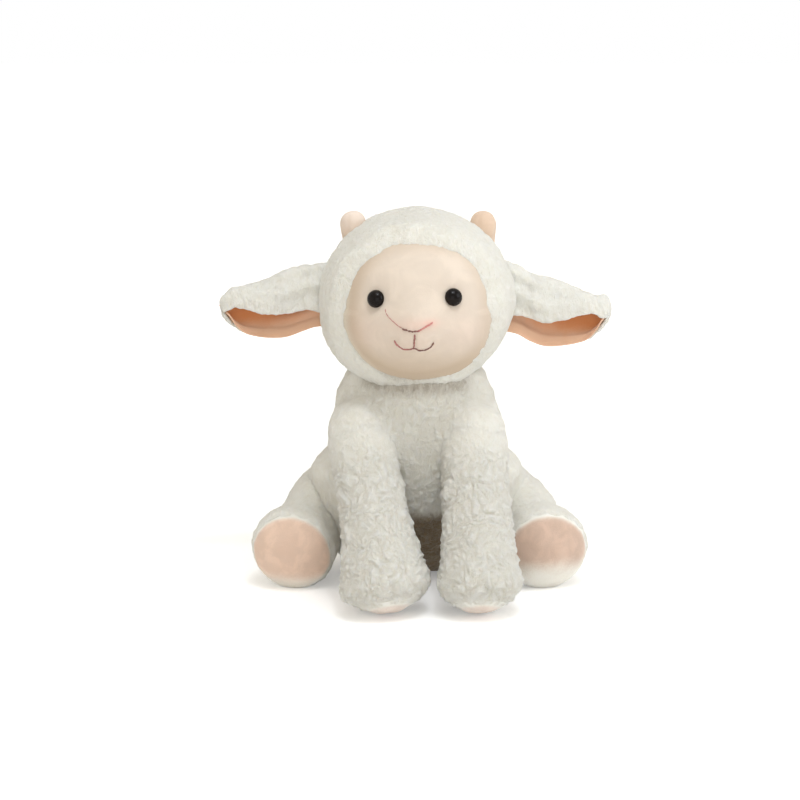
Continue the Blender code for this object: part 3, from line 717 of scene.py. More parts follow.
class LAMB_OT_head(bpy.types.Operator):
    """Makes the fleece hood, which rolls in over the edge of the face"""

    bl_idname = "lamb.head"
    bl_label = "Head"

    def execute(self, context):
        sizes = context.scene.lamb_sizes

        def place(turn, share):
            level = -math.cos(math.pi * share)
            ring = math.sin(math.pi * share)
            return HEAD_CENTRE + Vector((
                HEAD_RADIUS * ring * math.cos(turn), HEAD_RADIUS * ring * math.sin(turn), HEAD_HALF_HEIGHT * level,
            ))

        hood = add_piece("head_fleece", laid_sphere(64, 40, place), finishes["fleece"])
        even = hood.modifiers.new("Even mesh", "REMESH")
        even.mode = "VOXEL"
        even.voxel_size = sizes.even_mesh * 0.82
        applied(hood)
        subdivided(hood, 2)

        hidden, edge, faded = -0.0015, 0.0095, 0.0400

        def lay(point, normal):
            # painted shade: under marks the hood's band under the chin, shaded the lamb's right side of the head,
            # turned from the lamps; both darken the fleece's colour
            under = smooth_step(0.163, 0.148, point.z) * smooth_step(0.0, -0.030, point.y)
            lean = Vector((-0.0028 * smooth_step(0.205, 0.165, point.z), 0, 0))
            shaded = smooth_step(-0.020, -0.050, point.x) * smooth_step(0.235, 0.200, point.z)
            unshaded_share = 1 - 0.52 * under - 0.10 * shaded
            front = smooth_step(HEAD_CENTRE.y - 0.010, HEAD_CENTRE.y - 0.045, point.y)
            if front == 0:
                return lean, 0.05, 1.0, unshaded_share
            away, reach = face_reach(point.x, point.z, HOOD_BROW_POWER)
            turn = math.atan2(point.z - FACE_Z, point.x)
            rough = Vector((math.cos(turn) * 2.6, math.sin(turn) * 2.6, 1.7))
            brow = smooth_step(FACE_Z + 0.005, FACE_Z + 0.040, point.z)
            chin = smooth_step(FACE_Z - 0.010, FACE_Z - 0.040, point.z)
            cheek = smooth_step(-0.015, -0.040, point.x) * (1 - brow)
            wobble = noise.noise(rough) * (0.0010 + 0.0014 * brow) + noise.noise(rough * 3.1) * 0.0004
            beyond = away - reach * 1.025 + wobble + 0.0028 * brow
            if beyond < hidden:
                return normal * -0.0080 + lean, 0.0, 0.0, 1.0
            rise = sizes.rim_rise * (0.66 + 0.34 * brow - 0.20 * chin - 0.20 * cheek)
            if beyond < edge:
                share = (beyond - hidden) / (edge - hidden)
                lift = -0.0042 + (rise + 0.0042) * (1 - (1 - share) ** 2) ** 0.6
                over = 0.0030 * (1 - 0.5 * chin - 0.4 * cheek) * math.sin(math.pi * math.sqrt(share)) ** 2
            else:
                lift = rise * (1 - smooth_step(edge, faded, beyond)) * front
                over = 0.0
            inward = Vector((-point.x, 0, FACE_Z - point.z)).normalized()
            # painted shadow under the rolled rim: dark lowers the fleece's colour on the inner wall of the roll
            dark = 0.50 - 0.22 * cheek
            unshaded_share *= 1 - dark + dark * smooth_step(hidden + 0.0004, 0.0040, beyond)
            return normal * lift + inward * over + lean, 0.16, smooth_step(hidden, 0.002, beyond), unshaded_share

        grow_pile(hood, sizes, 1, lay)
        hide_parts("head_hood", "head_filling")
        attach(hood, "head")
        return {"FINISHED"}


class LAMB_OT_face(bpy.types.Operator):
    """Makes the velvet face panel with its muzzle, and the blush on it"""

    bl_idname = "lamb.face"
    bl_label = "Face"

    def execute(self, context):
        shape = bmesh.new()
        bmesh.ops.create_grid(shape, x_segments=165, y_segments=165, size=1)
        for vertex in shape.verts:
            u, v = vertex.co.x, vertex.co.y
            x, z = u * math.sqrt(1 - v * v / 2), v * math.sqrt(1 - u * u / 2)
            share = math.hypot(x, z)
            if share > 0:
                reach = face_reach(x / share, FACE_Z + z / share)[1] * 1.055
                x, z = x * reach, z * reach
            sunk = 0.0036 * smooth_step(0.76, 1.0, share)
            vertex.co = on_face(x, FACE_Z + z) + Vector((0, sunk, 0))
        bmesh.ops.recalc_face_normals(shape, faces=shape.faces)
        if sum(face.normal.y for face in shape.faces) > 0:
            bmesh.ops.reverse_faces(shape, faces=shape.faces)
        panel = add_piece("face_velvet", shape, finishes["face"])
        walled(panel, 0.0016)
        blush = panel.data.attributes.new("blush", "FLOAT", "POINT")
        shade = panel.data.attributes.new("shade", "FLOAT", "POINT")
        over = panel.data.attributes.new("over", "FLOAT", "POINT")
        for vertex in panel.data.vertices:
            x, z = vertex.co.x, vertex.co.z
            away, reach = face_reach(x, z)
            # painted shade: under darkens the chin, edge_shade the seam under the rolled fleece, more on the far
            # cheek, which is turned from the light
            under = 0.92 * smooth_step(FACE_Z - 0.014, FACE_Z - 0.048, z)
            far_cheek = smooth_step(-0.010, -0.045, x)
            edge_shade = (0.45 + 0.35 * far_cheek) * smooth_step(0.78 - 0.16 * far_cheek, 1.0, away / reach)
            shade.data[vertex.index].value = min(under + edge_shade, 1.0)
            low_edge = smooth_step(FACE_Z + 0.034, FACE_Z + 0.006, z)
            combed = (0.20 + 0.42 * far_cheek) * low_edge * smooth_step(0.84, 1.03, away / reach)
            over.data[vertex.index].value = combed
            share = 0.26 * bump_at(x, z, FACE_TURN, 0.1990, 0.0140, 0.0050)
            share += 0.42 * bump_at(x, z, 0.0088, 0.2003, 0.0050, 0.0026)
            share += 0.12 * bump_at(x, z, FACE_TURN, 0.1860, 0.0150, 0.0050)
            for sign in (1, -1):
                share += 0.10 * bump_at(x, z, FACE_TURN + sign * 0.034, 0.192, 0.014, 0.012)
            blush.data[vertex.index].value = min(share, 1.0)
        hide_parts("face_panel")
        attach(panel, "head")
        return {"FINISHED"}


def lathed(profile, seat, outward, name, material):
    """A turned piece: its profile is spun about an axis that stands on a seat."""
    shape = bmesh.new()
    points = [shape.verts.new((away, 0, height)) for away, height in profile]
    edges = [shape.edges.new(pair) for pair in zip(points, points[1:])]
    bmesh.ops.spin(
        shape, geom=points + edges, cent=(0, 0, 0), axis=(0, 0, 1), angle=2 * math.pi, steps=48, use_merge=True,
    )
    bmesh.ops.remove_doubles(shape, verts=shape.verts, dist=0.00001)
    bmesh.ops.recalc_face_normals(shape, faces=shape.faces)
    turned = outward.to_track_quat("Z", "Y").to_matrix().to_4x4()
    bmesh.ops.transform(shape, matrix=Matrix.Translation(seat) @ turned, verts=shape.verts)
    return add_piece(name, shape, material)


class LAMB_OT_eyes(bpy.types.Operator):
    """Turns the two glossy eyes with their shanks, and the washers that lock them"""

    bl_idname = "lamb.eyes"
    bl_label = "Eyes"

    def execute(self, context):
        radius = context.scene.lamb_sizes.eye
        shank, shank_end = 0.0018, -0.0090
        for side, place in EYES.items():
            seat, outward = on_face(*place), face_normal(*place)
            dome = [(0.0, 0.0060)]
            for step in range(1, 13):
                turn = math.pi / 2 * (1 - step / 12)
                dome.append((radius * math.cos(turn), 0.0010 + 0.0050 * math.sin(turn)))
            dome += [(radius - 0.0003, 0.0001), (radius - 0.0010, -0.0002), (shank, -0.0002), (shank, shank_end)]
            dome.append((0.0, shank_end))
            eye = lathed(dome, seat, outward, f"{side}_eye_dome", finishes["eye"])
            washer = [(0.0021, -0.0046), (0.0064, -0.0046), (0.0068, -0.0051), (0.0064, -0.0057)]
            washer += [(0.0036, -0.0057), (0.0032, -0.0068), (0.0021, -0.0068), (0.0021, -0.0046)]
            lock = lathed(washer, seat, outward, f"{side}_eye_lock", finishes["plastic"])
            for piece, node, slot in ((eye, f"{side}_eye", "eye"), (lock, f"{side}_eye_washer", "plastic")):
                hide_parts(node)
                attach(piece, "head")
        return {"FINISHED"}


def stitched(name, node, paths, sizes, faded, laid=0.62):
    """Back stitches along paths on the face, each a short padded strand. faded gives how pale it is at an x."""
    shape = bmesh.new()
    ends = [(sizes.thread * thin, near, far) for thin, path in paths for near, far in zip(path, path[1:])]
    for number, (radius, near, far) in enumerate(ends):
        slip = noise.noise_vector(Vector((number * 1.7, len(ends) * 0.31, 0.4))) * radius * 0.9
        radius *= 0.92 + 0.30 * noise.noise(Vector((number * 2.3, 0.7, len(ends) * 0.17)))
        start = on_face(near[0] + slip.x, near[1] + slip.y)
        end = on_face(far[0] - slip.y, far[1] + slip.z)
        outward = face_normal((near[0] + far[0]) / 2, (near[1] + far[1]) / 2)
        along = (end - start).normalized()
        side = along.cross(outward).normalized()
        share = laid(near[0]) if callable(laid) else laid
        made = bmesh.ops.create_uvsphere(shape, u_segments=12, v_segments=8, radius=1)
        turned = Matrix((side * radius, outward * radius, along * (end - start).length * share)).transposed()
        centre = (start + end) / 2 + outward * radius * 0.35
        bmesh.ops.transform(shape, matrix=Matrix.Translation(centre) @ turned.to_4x4(), verts=made["verts"])
    bmesh.ops.recalc_face_normals(shape, faces=shape.faces)
    piece = add_piece(name, shape, finishes["thread"])
    tone = piece.data.attributes.new("faded", "FLOAT", "POINT")
    for vertex in piece.data.vertices:
        tone.data[vertex.index].value = faded(vertex.co.x)
    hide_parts(node)
    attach(piece, "head")


def path_of(points, step_length):
    """Points at even steps on a smooth curve through some points."""
    count = 60
    fine = [smooth_read(points, step / count) for step in range(count + 1)]
    steps = [math.dist(near, far) for near, far in zip(fine, fine[1:])]
    total = sum(steps)
    pieces = max(1, round(total / step_length))
    path, gone, index = [tuple(fine[0])], 0.0, 0
    for number in range(1, pieces):
        wanted = total * number / pieces
        while gone + steps[index] < wanted:
            gone += steps[index]
            index += 1
        share = (wanted - gone) / steps[index]
        path.append(tuple(a + (b - a) * share for a, b in zip(fine[index], fine[index + 1])))
    return path + [tuple(fine[-1])]


class LAMB_OT_stitches(bpy.types.Operator):
    """Embroiders the nose, the lip line and the mouth"""

    bl_idname = "lamb.stitches"
    bl_label = "Embroidery"

    def execute(self, context):
        sizes = context.scene.lamb_sizes
        nose = [(-0.0096, 0.1969), (-0.0072, 0.1959), (-0.0048, 0.1953), (-0.0018, 0.1950), (0.0016, 0.1957),
                (0.0060, 0.1981), (0.0103, 0.2006)]
        loose = [(-0.0210, 0.2088), (-0.0200, 0.2050), (-0.0168, 0.2019), (-0.0128, 0.1987), (-0.0096, 0.1970)]
        lip = [(-0.0013, 0.1930), (-0.0017, 0.1890), (-0.0021, 0.1834)]
        mouth = [(-0.0149, 0.1880), (-0.0128, 0.1848), (-0.0096, 0.1826), (-0.0060, 0.1820), (-0.0021, 0.1832),
                 (0.0010, 0.1817), (0.0042, 0.1815), (0.0078, 0.1828), (0.0100, 0.1850), (0.0108, 0.1864)]
        stitched(
            "nose_thread", "nose_stitch", ((0.88, path_of(nose, 0.0019)), (0.40, path_of(loose, 0.0028))), sizes,
            lambda x: smooth_step(-0.004, 0.006, x) + smooth_step(-0.0085, -0.0120, x) * 0.75,
            lambda x: 0.52 + 0.10 * math.sin(x * 5200) if x < -0.004 else 0.62,
        )
        stitched("lip_thread", "lip_stitch", ((0.90, path_of(lip, 0.0024)),), sizes, lambda x: 0.45)
        stitched(
            "mouth_thread", "mouth_stitch", ((0.84, path_of(mouth, 0.0021)),), sizes,
            lambda x: 0.62 - 0.50 * smooth_step(-0.008, 0.001, x),
        )
        return {"FINISHED"}


class LAMB_OT_horns(bpy.types.Operator):
    """Makes the two stub horns, gathered where they meet the hood"""

    bl_idname = "lamb.horns"
    bl_label = "Horns"

    def execute(self, context):
        for side, sign, tip_x, lean, paled in (("left", 1, 0.0462, 0.05, 0.0), ("right", -1, 0.0452, 0.12, 0.62)):
            along = Vector((sign * math.sin(lean), 0, math.cos(lean)))
            across = Vector((math.cos(lean), 0, -sign * math.sin(lean)))
            tip = Vector((sign * tip_x, 0.011, 0.2636))
            rings = []
            for depth, width in (
                (0.0, 0.0), (0.0008, 0.0038), (0.0028, 0.0066), (0.0060, 0.0084), (0.0095, 0.0090),
                (0.0140, 0.0088), (0.0190, 0.0082), (0.0235, 0.0086), (0.0270, 0.0098), (0.0300, 0.0060),
                (0.0310, 0.0),
            ):
                rings.append((tip - along * depth, across * width, Vector((0, width, 0))))
            shape = laid_sphere(48, 56, ringed(rings))
            for vertex in shape.verts:
                depth = (tip - vertex.co).dot(along)
                away = vertex.co - (tip - along * depth)
                if away.length == 0:
                    continue
                turn = math.atan2(away.y, away.dot(across))
                fold = math.sin(turn * 7 + sign) * 0.0005 * smooth_step(0.010, 0.019, depth)
                seam = -0.0004 * math.exp(-((math.cos(turn + 0.4) / 0.10) ** 2))
                soft = 0.0006 * noise.noise(vertex.co / 0.007)
                vertex.co += away.normalized() * (fold + seam + soft)
            horn = add_piece(f"{side}_horn_nub", shape, finishes["horn"])
            pale = horn.data.attributes.new("pale", "FLOAT", "POINT")
            for vertex in horn.data.vertices:
                pale.data[vertex.index].value = paled * smooth_step(tip.z - 0.030, tip.z - 0.004, vertex.co.z)
            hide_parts(f"{side}_horn")
            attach(horn, "head")
        return {"FINISHED"}


# Ears

def ear_point(sign, share, round_share, inset, lip=0.0):
    """A point of the folded leaf: a share of its length, and a share of the way from flap edge to rim.

    The lamb's left ear hangs a little lower and is a little shorter than its right one. A lip turns the last
    stretch outwards, over the edge of the leaf that it lines.
    """
    length, height, thickness, drop, flap, rim = smooth_read(EAR_STATIONS, share)
    wrap = 0.0
    if lip > 0:
        wrap = smooth_step(1 - lip, 1.0, round_share) * (1 - smooth_step(0.60, 0.78, share))
        inset = inset * (1 - wrap) - 0.0007 * wrap
    flap_turn = -math.acos(min(max(flap, -1.0), 1.0))
    open_rim = 1 - smooth_step(0.60, 0.78, share)
    rim_turn = math.pi + math.acos(min(max(-rim, -1.0), 1.0)) - (0.36 if lip == 0 else -0.04) * open_rim
    turn = flap_turn + (rim_turn - flap_turn) * round_share
    up = max(math.cos(turn), 0.0)
    crown = 0.13
    if sign > 0:
        crown -= 0.08 * smooth_step(0.55, 0.80, share)
    half_height = max(height * EAR_HALF_HEIGHT * (1 - crown * up) - inset, 0.0004)
    half_thickness = max(thickness * EAR_HALF_THICKNESS - inset, 0.0003)
    gather = math.sin(turn * 8 + sign) * (1 - smooth_step(0.12, 0.40, share)) * smooth_step(0.0, 0.06, share)
    ripple = 0.0009 * math.sin(share * 17 + sign * 2) * up * up * smooth_step(0.90, 0.70, share)
    wave = 0.0010 * math.sin(share * 15 + sign) * smooth_step(0.35, 0.0, round_share)
    hang, shrink, fall = 0.0, 0.975, 0.0024
    if sign > 0:
        hang = 0.0050 * smooth_step(0.0, 0.25, share) - 0.0034 * smooth_step(0.35, 1.05, share)
        shrink, fall = 0.945, 0.0056
    low = fall * smooth_step(0.0, -1.0, math.cos(turn)) * (1 - smooth_step(0.08, 0.42, share))
    crest = 0.0036 * smooth_step(0.16, -0.02, share) * up
    reach = length * EAR_LENGTH * (shrink if length > 0 else 1.0)
    centre = EAR_ROOT + Vector((reach, 0, -drop * EAR_DROP + wave - hang))
    point = centre + Vector((
        0, (half_thickness + gather * 0.0013) * math.sin(turn),
        (half_height + gather * 0.0004 + ripple + low + crest) * math.cos(turn),
    ))
    point.x *= sign
    return point


def ear_leaf(sign, along, around, inset, last=1.0, lip=0.0):
    shape = bmesh.new()
    bmesh.ops.create_grid(shape, x_segments=along, y_segments=around, size=1)
    depth = shape.verts.layers.float.new("depth")
    for vertex in shape.verts:
        share, round_share = (vertex.co.x + 1) / 2, (vertex.co.y + 1) / 2
        vertex.co = ear_point(sign, share * last, round_share, inset, lip)
        middle = math.exp(-(((share - 0.45) / 0.36) ** 2))
        # depth marks the fold of the leaf, which the lining material paints darker as shade
        vertex[depth] = smooth_step(1.0, 0.66, round_share) * (0.45 + 0.65 * middle)
    bmesh.ops.recalc_face_normals(shape, faces=shape.faces)
    middle = Vector((sign * (EAR_ROOT.x + EAR_LENGTH / 2), EAR_ROOT.y, EAR_ROOT.z - EAR_DROP / 2))
    outward = sum((face.calc_center_median() - middle).dot(face.normal) for face in shape.faces)
    if outward < 0:
        bmesh.ops.reverse_faces(shape, faces=shape.faces)
    return shape


def walled(piece, thickness):
    wall = piece.modifiers.new("Wall", "SOLIDIFY")
    wall.thickness = thickness
    wall.offset = -1
    applied(piece)


class LAMB_OT_ears(bpy.types.Operator):
    """Folds the two ears, each a leaf of fleece with a lining"""

    bl_idname = "lamb.ears"
    bl_label = "Ears"

    def execute(self, context):
        sizes = context.scene.lamb_sizes
        for side, sign in (("left", 1), ("right", -1)):
            leaf = add_piece(f"{side}_ear_fleece", ear_leaf(sign, 64, 52, 0.0), finishes["fleece"])
            walled(leaf, 0.0024)
            subdivided(leaf, 1)
            grow_pile(leaf, sizes, 5 + sign, lambda point, normal: (Vector((0, 0, 0)), 0.05, 1.0, 1.0))
            lining = add_piece(f"{side}_ear_velvet", ear_leaf(sign, 60, 96, 0.0041, 0.93, 0.085), finishes["lining"])
            walled(lining, 0.0009)
            subdivided(lining, 1)
            for piece, node, slot in ((leaf, f"{side}_ear", "fleece"), (lining, f"{side}_ear_lining", "lining")):
                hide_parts(node)
                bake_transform(piece)
        return {"FINISHED"}


# Body and limbs

def path_frame(along):
    across = along.cross(Vector((0, 0, 1))).normalized()
    return across, across.cross(along).normalized()


FOOT_SHARES = (0.00, 0.20, 0.40, 0.58, 0.74, 0.87, 0.95)
FOOT_POWER = 0.62


def foot_size(share):
    return (1 - share**2) ** FOOT_POWER


def foot_drop(half_height, depth, pitch):
    return max(
        half_height * math.cos(pitch) * foot_size(share) + depth * math.sin(pitch) * share
        for share in (0.00, 0.34, 0.64, 0.87, 1)
    )


class Limb:
    """A limb's form: where it is rooted, how it bends and the foot that it ends in."""

    def __init__(self, root, root_radius, foot_x, foot_y, yaw, pitch, bow, waist, foot_sizes, seam_share, sunk):
        self.root = root
        self.root_radius = root_radius
        self.half_width, self.half_height, self.depth = foot_sizes
        foot_z = foot_drop(self.half_height, self.depth, pitch) - sunk
        self.foot = Vector((foot_x, foot_y, foot_z))
        self.end = Vector((
            math.sin(yaw) * math.cos(pitch), -math.cos(yaw) * math.cos(pitch), -math.sin(pitch),
        ))
        self.knee = self.foot - self.end * bow
        self.waist = waist
        self.seam = self.foot + self.end * self.depth * seam_share
        self.start = (self.knee - root).normalized()

    def rings(self):
        across, up = path_frame(self.start)
        rings = []
        for share in (-1.0, -0.88, -0.60, -0.26):
            radius = self.root_radius * math.sqrt(1 - share**2)
            rings.append((self.root + self.start * self.root_radius * share, across * radius, up * radius))
        sizes = ((self.root_radius,) * 2, (self.waist,) * 2, (self.half_width, self.half_height))
        for step in range(6):
            t = step / 6
            centre = self.root * (1 - t) ** 2 + self.knee * 2 * t * (1 - t) + self.foot * t**2
            along = ((self.knee - self.root) * (1 - t) + (self.foot - self.knee) * t).normalized()
            across, up = path_frame(along)
            width, height = smooth_read(sizes, t)
            rings.append((centre, across * width, up * height))
        across, up = path_frame(self.end)
        for share in FOOT_SHARES:
            size = foot_size(share)
            centre = self.foot + self.end * self.depth * share
            rings.append((centre, across * self.half_width * size, up * self.half_height * size))
        nothing = Vector((0, 0, 0))
        rings.append((self.foot + self.end * self.depth, nothing, nothing))
        return rings

    def past_root(self, point):
        """How far a point lies beyond the middle of the root, down the limb."""
        return (point - self.root).dot(self.start)

    def past_seam(self, point):
        """How far a point lies beyond the seam that the pad is sewn in by."""
        return (point - self.seam).dot(self.end)


def front_limb(sign):
    """The left leg stands straight down. The right one slants in and is set down on a broader paw."""
    paw_x, half_width = (0.0425, 0.0300) if sign > 0 else (-0.0205, 0.0330)
    shoulder = Vector((sign * 0.039, -0.029, 0.114))
    paw_y = -0.0775
    yaw = math.atan2(paw_x - shoulder.x, shoulder.y - paw_y)
    foot = (half_width, 0.0285, 0.016)
    return Limb(shoulder, 0.025, paw_x, paw_y, yaw, math.radians(62), 0.045, 0.0258, foot, 0.74, 0.0005)


def hind_limb(sign):
    hip = Vector((sign * 0.066, 0.037, 0.046))
    foot_x, foot = (0.0895, (0.0318, 0.0320, 0.020)) if sign > 0 else (0.0868, (0.0306, 0.0316, 0.020))
    return Limb(
        hip, 0.030, sign * foot_x, -0.0140, sign * math.radians(8), math.radians(12), 0.026, 0.0285, foot, 0.26,
        0.0030,
    )


def rested(piece):
    """Flattens what would reach below the surface that the lamb sits on."""
    for vertex in piece.data.vertices:
        vertex.co.z = max(vertex.co.z, 0.0)
    piece.data.update()


class LAMB_OT_body(bpy.types.Operator):
    """Makes the body, filled out at shoulders and hips, with curls on its chest and short pile on its back"""

    bl_idname = "lamb.body"
    bl_label = "Body"

    def execute(self, context):
        sizes = context.scene.lamb_sizes
        rings = []
        for height, width, depth, lean in BODY_STATIONS:
            centre = Vector((0, BODY_BASE_Y - lean * BODY_LEAN, height * BODY_HEIGHT))
            rings.append((centre, Vector((width * BODY_HALF_WIDTH, 0, 0)), Vector((0, depth * BODY_HALF_DEPTH, 0))))
        shape = laid_sphere(64, 60, ringed(rings))
        joints = []
        for limb in (front_limb(1), front_limb(-1), hind_limb(1), hind_limb(-1)):
            radius = limb.root_radius + 0.0006
            joints.append((limb.root, radius))
            bmesh.ops.create_uvsphere(
                shape, u_segments=32, v_segments=24, radius=radius, matrix=Matrix.Translation(limb.root),
            )

        def fillet(piece):
            rounded = bmesh.new()
            rounded.from_mesh(piece.data)
            near = [
                vertex for vertex in rounded.verts
                if vertex.co.z > 0.008 and any((vertex.co - centre).length < radius + 0.016 for centre, radius in joints)
            ]
            for turn in range(14):
                bmesh.ops.smooth_vert(
                    rounded, verts=near, factor=0.5, use_axis_x=True, use_axis_y=True, use_axis_z=True,
                )
            rounded.to_mesh(piece.data)
            rounded.free()

        body = stuffed("body_fleece", shape, finishes["fleece"], sizes, 1.06, fillet)

        def lay(point, normal):
            seat = smooth_step(0.001, 0.012, point.z)
            side = abs(point.x)
            chest = smooth_step(0.012, -0.016, point.y) * smooth_step(0.050, 0.026, side)
            # painted shade: chin marks the chest under the chin and belly_shade the belly low between the front legs;
            # both darken the fleece's colour
            chin = smooth_step(0.134, 0.150, point.z) * smooth_step(0.050, 0.028, side) * smooth_step(0.0, -0.02, point.y)
            belly_shade = smooth_step(0.066, 0.048, point.z) * smooth_step(0.052, 0.034, side) * smooth_step(0.060, 0.020, point.y)
            unshaded_share = 1 - 0.58 * chin - 0.92 * belly_shade
            tuck = 0.0022 * chest * smooth_step(0.120, 0.138, point.z)
            flank = smooth_step(0.050, 0.064, side)
            waist = -0.0050 * flank * math.exp(-(((point.z - 0.0965) / 0.0095) ** 2))
            haunch = 0.0030 * flank * math.exp(-(((point.z - 0.079) / 0.010) ** 2))
            shoulder = smooth_step(0.130, 0.112, point.z) * smooth_step(0.004, -0.020, point.y)
            long_here = max(0.62 * chest, 0.35 * shoulder)
            neck = 0.0026 * smooth_step(0.124, 0.138, point.z) * smooth_step(-0.026, -0.042, point.x)
            return normal * (tuck + waist + haunch + neck), long_here, 0.25 + 0.75 * seat, unshaded_share

        grow_pile(body, sizes, 2, lay)
        rested(body)
        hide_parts(*FLEECE_NODES)
        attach(body, "body")
        return {"FINISHED"}


def add_limb(side, kind, limb, pad_name, finish, seed, long_share, swell, combed, worn, sizes):
    """One limb's fleece and its pad, and how they follow the seam.

    swell fills the limb out at a point, combed is how far the pile lies over the pad, and worn says how far the
    pad has lost its colour at a point.
    """
    body = f"{side}_{kind}_leg"
    voxel_share = 0.74 if long_share > 0.5 else 1.0
    fleece = stuffed(f"{side}_{kind}_fleece", laid_sphere(48, 60, ringed(limb.rings())), finishes["fleece"], sizes, voxel_share)

    def around(normal):
        return normal - limb.end * normal.dot(limb.end)

    def lay(point, normal):
        beyond = limb.past_seam(point)
        filled = around(normal) * swell(point, beyond)
        if beyond > 0.0:
            return normal * -0.0020 * smooth_step(-0.0005, 0.0040, beyond) + filled, 0.0, 0.0, 1.0
        down = limb.past_root(point)
        sunk = -0.0024 * (1 - smooth_step(-0.010, 0.010, down))
        full = smooth_step(0.0, -0.0035, beyond) * smooth_step(-0.008, 0.006, down)
        rim = 0.0004 * math.exp(-((beyond + 0.003) / 0.004) ** 2)
        long_here = long_share * (0.30 + 0.70 * smooth_step(0.0, 0.034, down))
        return normal * (sunk + rim) + filled, long_here, full, 1.0

    grow_pile(fleece, sizes, seed, lay)
    rested(fleece)

    shape = laid_sphere(72, 80, ringed(limb.rings()))
    bmesh.ops.bisect_plane(
        shape, geom=shape.verts[:] + shape.edges[:] + shape.faces[:], dist=0.00001,
        plane_co=limb.seam - limb.end * 0.0006, plane_no=limb.end, clear_inner=True,
    )
    pale = shape.verts.layers.float.new("pale")
    middle = limb.foot + limb.end * limb.depth
    shape.normal_update()
    for vertex, normal in [(vertex, vertex.normal.copy()) for vertex in shape.verts]:
        beyond = max(limb.past_seam(vertex.co), 0.0)
        away = vertex.co - middle
        turn = math.atan2(away.z, away.x)
        pucker = math.sin(turn * 19 + seed) * 0.0004 * math.exp(-((beyond / 0.0022) ** 2))
        tuck = -0.0014 * math.exp(-((beyond / 0.0026) ** 2))
        soft = 0.0006 * noise.noise(vertex.co / 0.009)
        vertex[pale] = min(math.exp(-((beyond / combed) ** 2)) + worn(vertex.co - limb.foot), 1.0)
        vertex.co += normal * (pucker + tuck + soft) + around(normal) * swell(vertex.co, beyond)
    pad = add_piece(f"{side}_{kind}_{pad_name}_velvet", shape, finishes[finish])
    walled(pad, 0.0018)
    subdivided(pad, 1)
    rested(pad)

    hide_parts(body, f"{side}_{kind}_filling")
    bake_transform(fleece)
    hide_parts(f"{side}_{kind}_{pad_name}")
    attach(pad, body)


class LAMB_OT_front_legs(bpy.types.Operator):
    """Makes the front legs with their long curls, and their soles"""

    bl_idname = "lamb.front_legs"
    bl_label = "Front legs"

    def execute(self, context):
        sizes = context.scene.lamb_sizes

        def taper(point, beyond):
            full = 0.0014 * math.exp(-(((beyond + 0.018) / 0.008) ** 2))
            return full - 0.0042 * math.exp(-(((beyond - 0.001) / 0.0100) ** 2))

        for side, sign, seed in (("left", 1, 11), ("right", -1, 14)):
            add_limb(
                side, "front", front_limb(sign), "sole", "sole", seed, 1.0, taper, 0.0016, lambda away: 0.22, sizes,
            )
        return {"FINISHED"}


class LAMB_OT_hind_legs(bpy.types.Operator):
    """Makes the hind legs in short pile, slim at the ankle and round at the foot, and their pads"""

    bl_idname = "lamb.hind_legs"
    bl_label = "Hind legs"

    def execute(self, context):
        sizes = context.scene.lamb_sizes

        def swell(point, beyond):
            foot = 0.0012 * math.exp(-(((beyond + 0.013) / 0.009) ** 2))
            outer = smooth_step(0.080, 0.100, abs(point.x)) * smooth_step(0.015, 0.035, point.z)
            ankle = -0.0034 * math.exp(-(((beyond + 0.034) / 0.013) ** 2)) * outer
            slim = -0.0030 * smooth_step(-0.080, -0.094, point.x) * math.exp(-(((beyond + 0.052) / 0.014) ** 2))
            return foot + ankle + slim

        # the left foot takes the left_pad finish, a darker copy of the pad velvet painted as shade
        for side, sign, seed, low in (("left", 1, 21, 0.004), ("right", -1, 24, -0.007)):
            add_limb(
                side, "hind", hind_limb(sign), "pad", f"{side}_pad", seed, 0.06, swell, 0.0032,
                lambda away, low=low: 0.75 * smooth_step(low, low - 0.022, away.z), sizes,
            )
        return {"FINISHED"}


class LAMB_OT_tail(bpy.types.Operator):
    """Makes the short tail"""

    bl_idname = "lamb.tail"
    bl_label = "Tail"

    def execute(self, context):
        sizes = context.scene.lamb_sizes
        low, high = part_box("tail")
        root = Vector((0, 0.0871, 0.064))
        end = Vector((0, high[1] - 0.0050, low[2]))
        along = (end - root).normalized()
        back = along.cross(Vector((1, 0, 0))).normalized()
        rings = []
        for step in range(11):
            share = step / 10
            size = math.sin(math.pi * share**1.25) ** 0.6 if 0 < step < 10 else 0.0
            centre = root + (end - root) * share
            rings.append((centre, Vector((0.0135 * size, 0, 0)), back * 0.0068 * size))
        tail = stuffed("tail_fleece", laid_sphere(40, 40, ringed(rings)), finishes["fleece"], sizes, 0.7)
        grow_pile(tail, sizes, 31, lambda point, normal: (Vector((0, 0, 0)), 0.35, 1.0, 1.0))
        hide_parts("tail")
        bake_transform(tail)
        return {"FINISHED"}


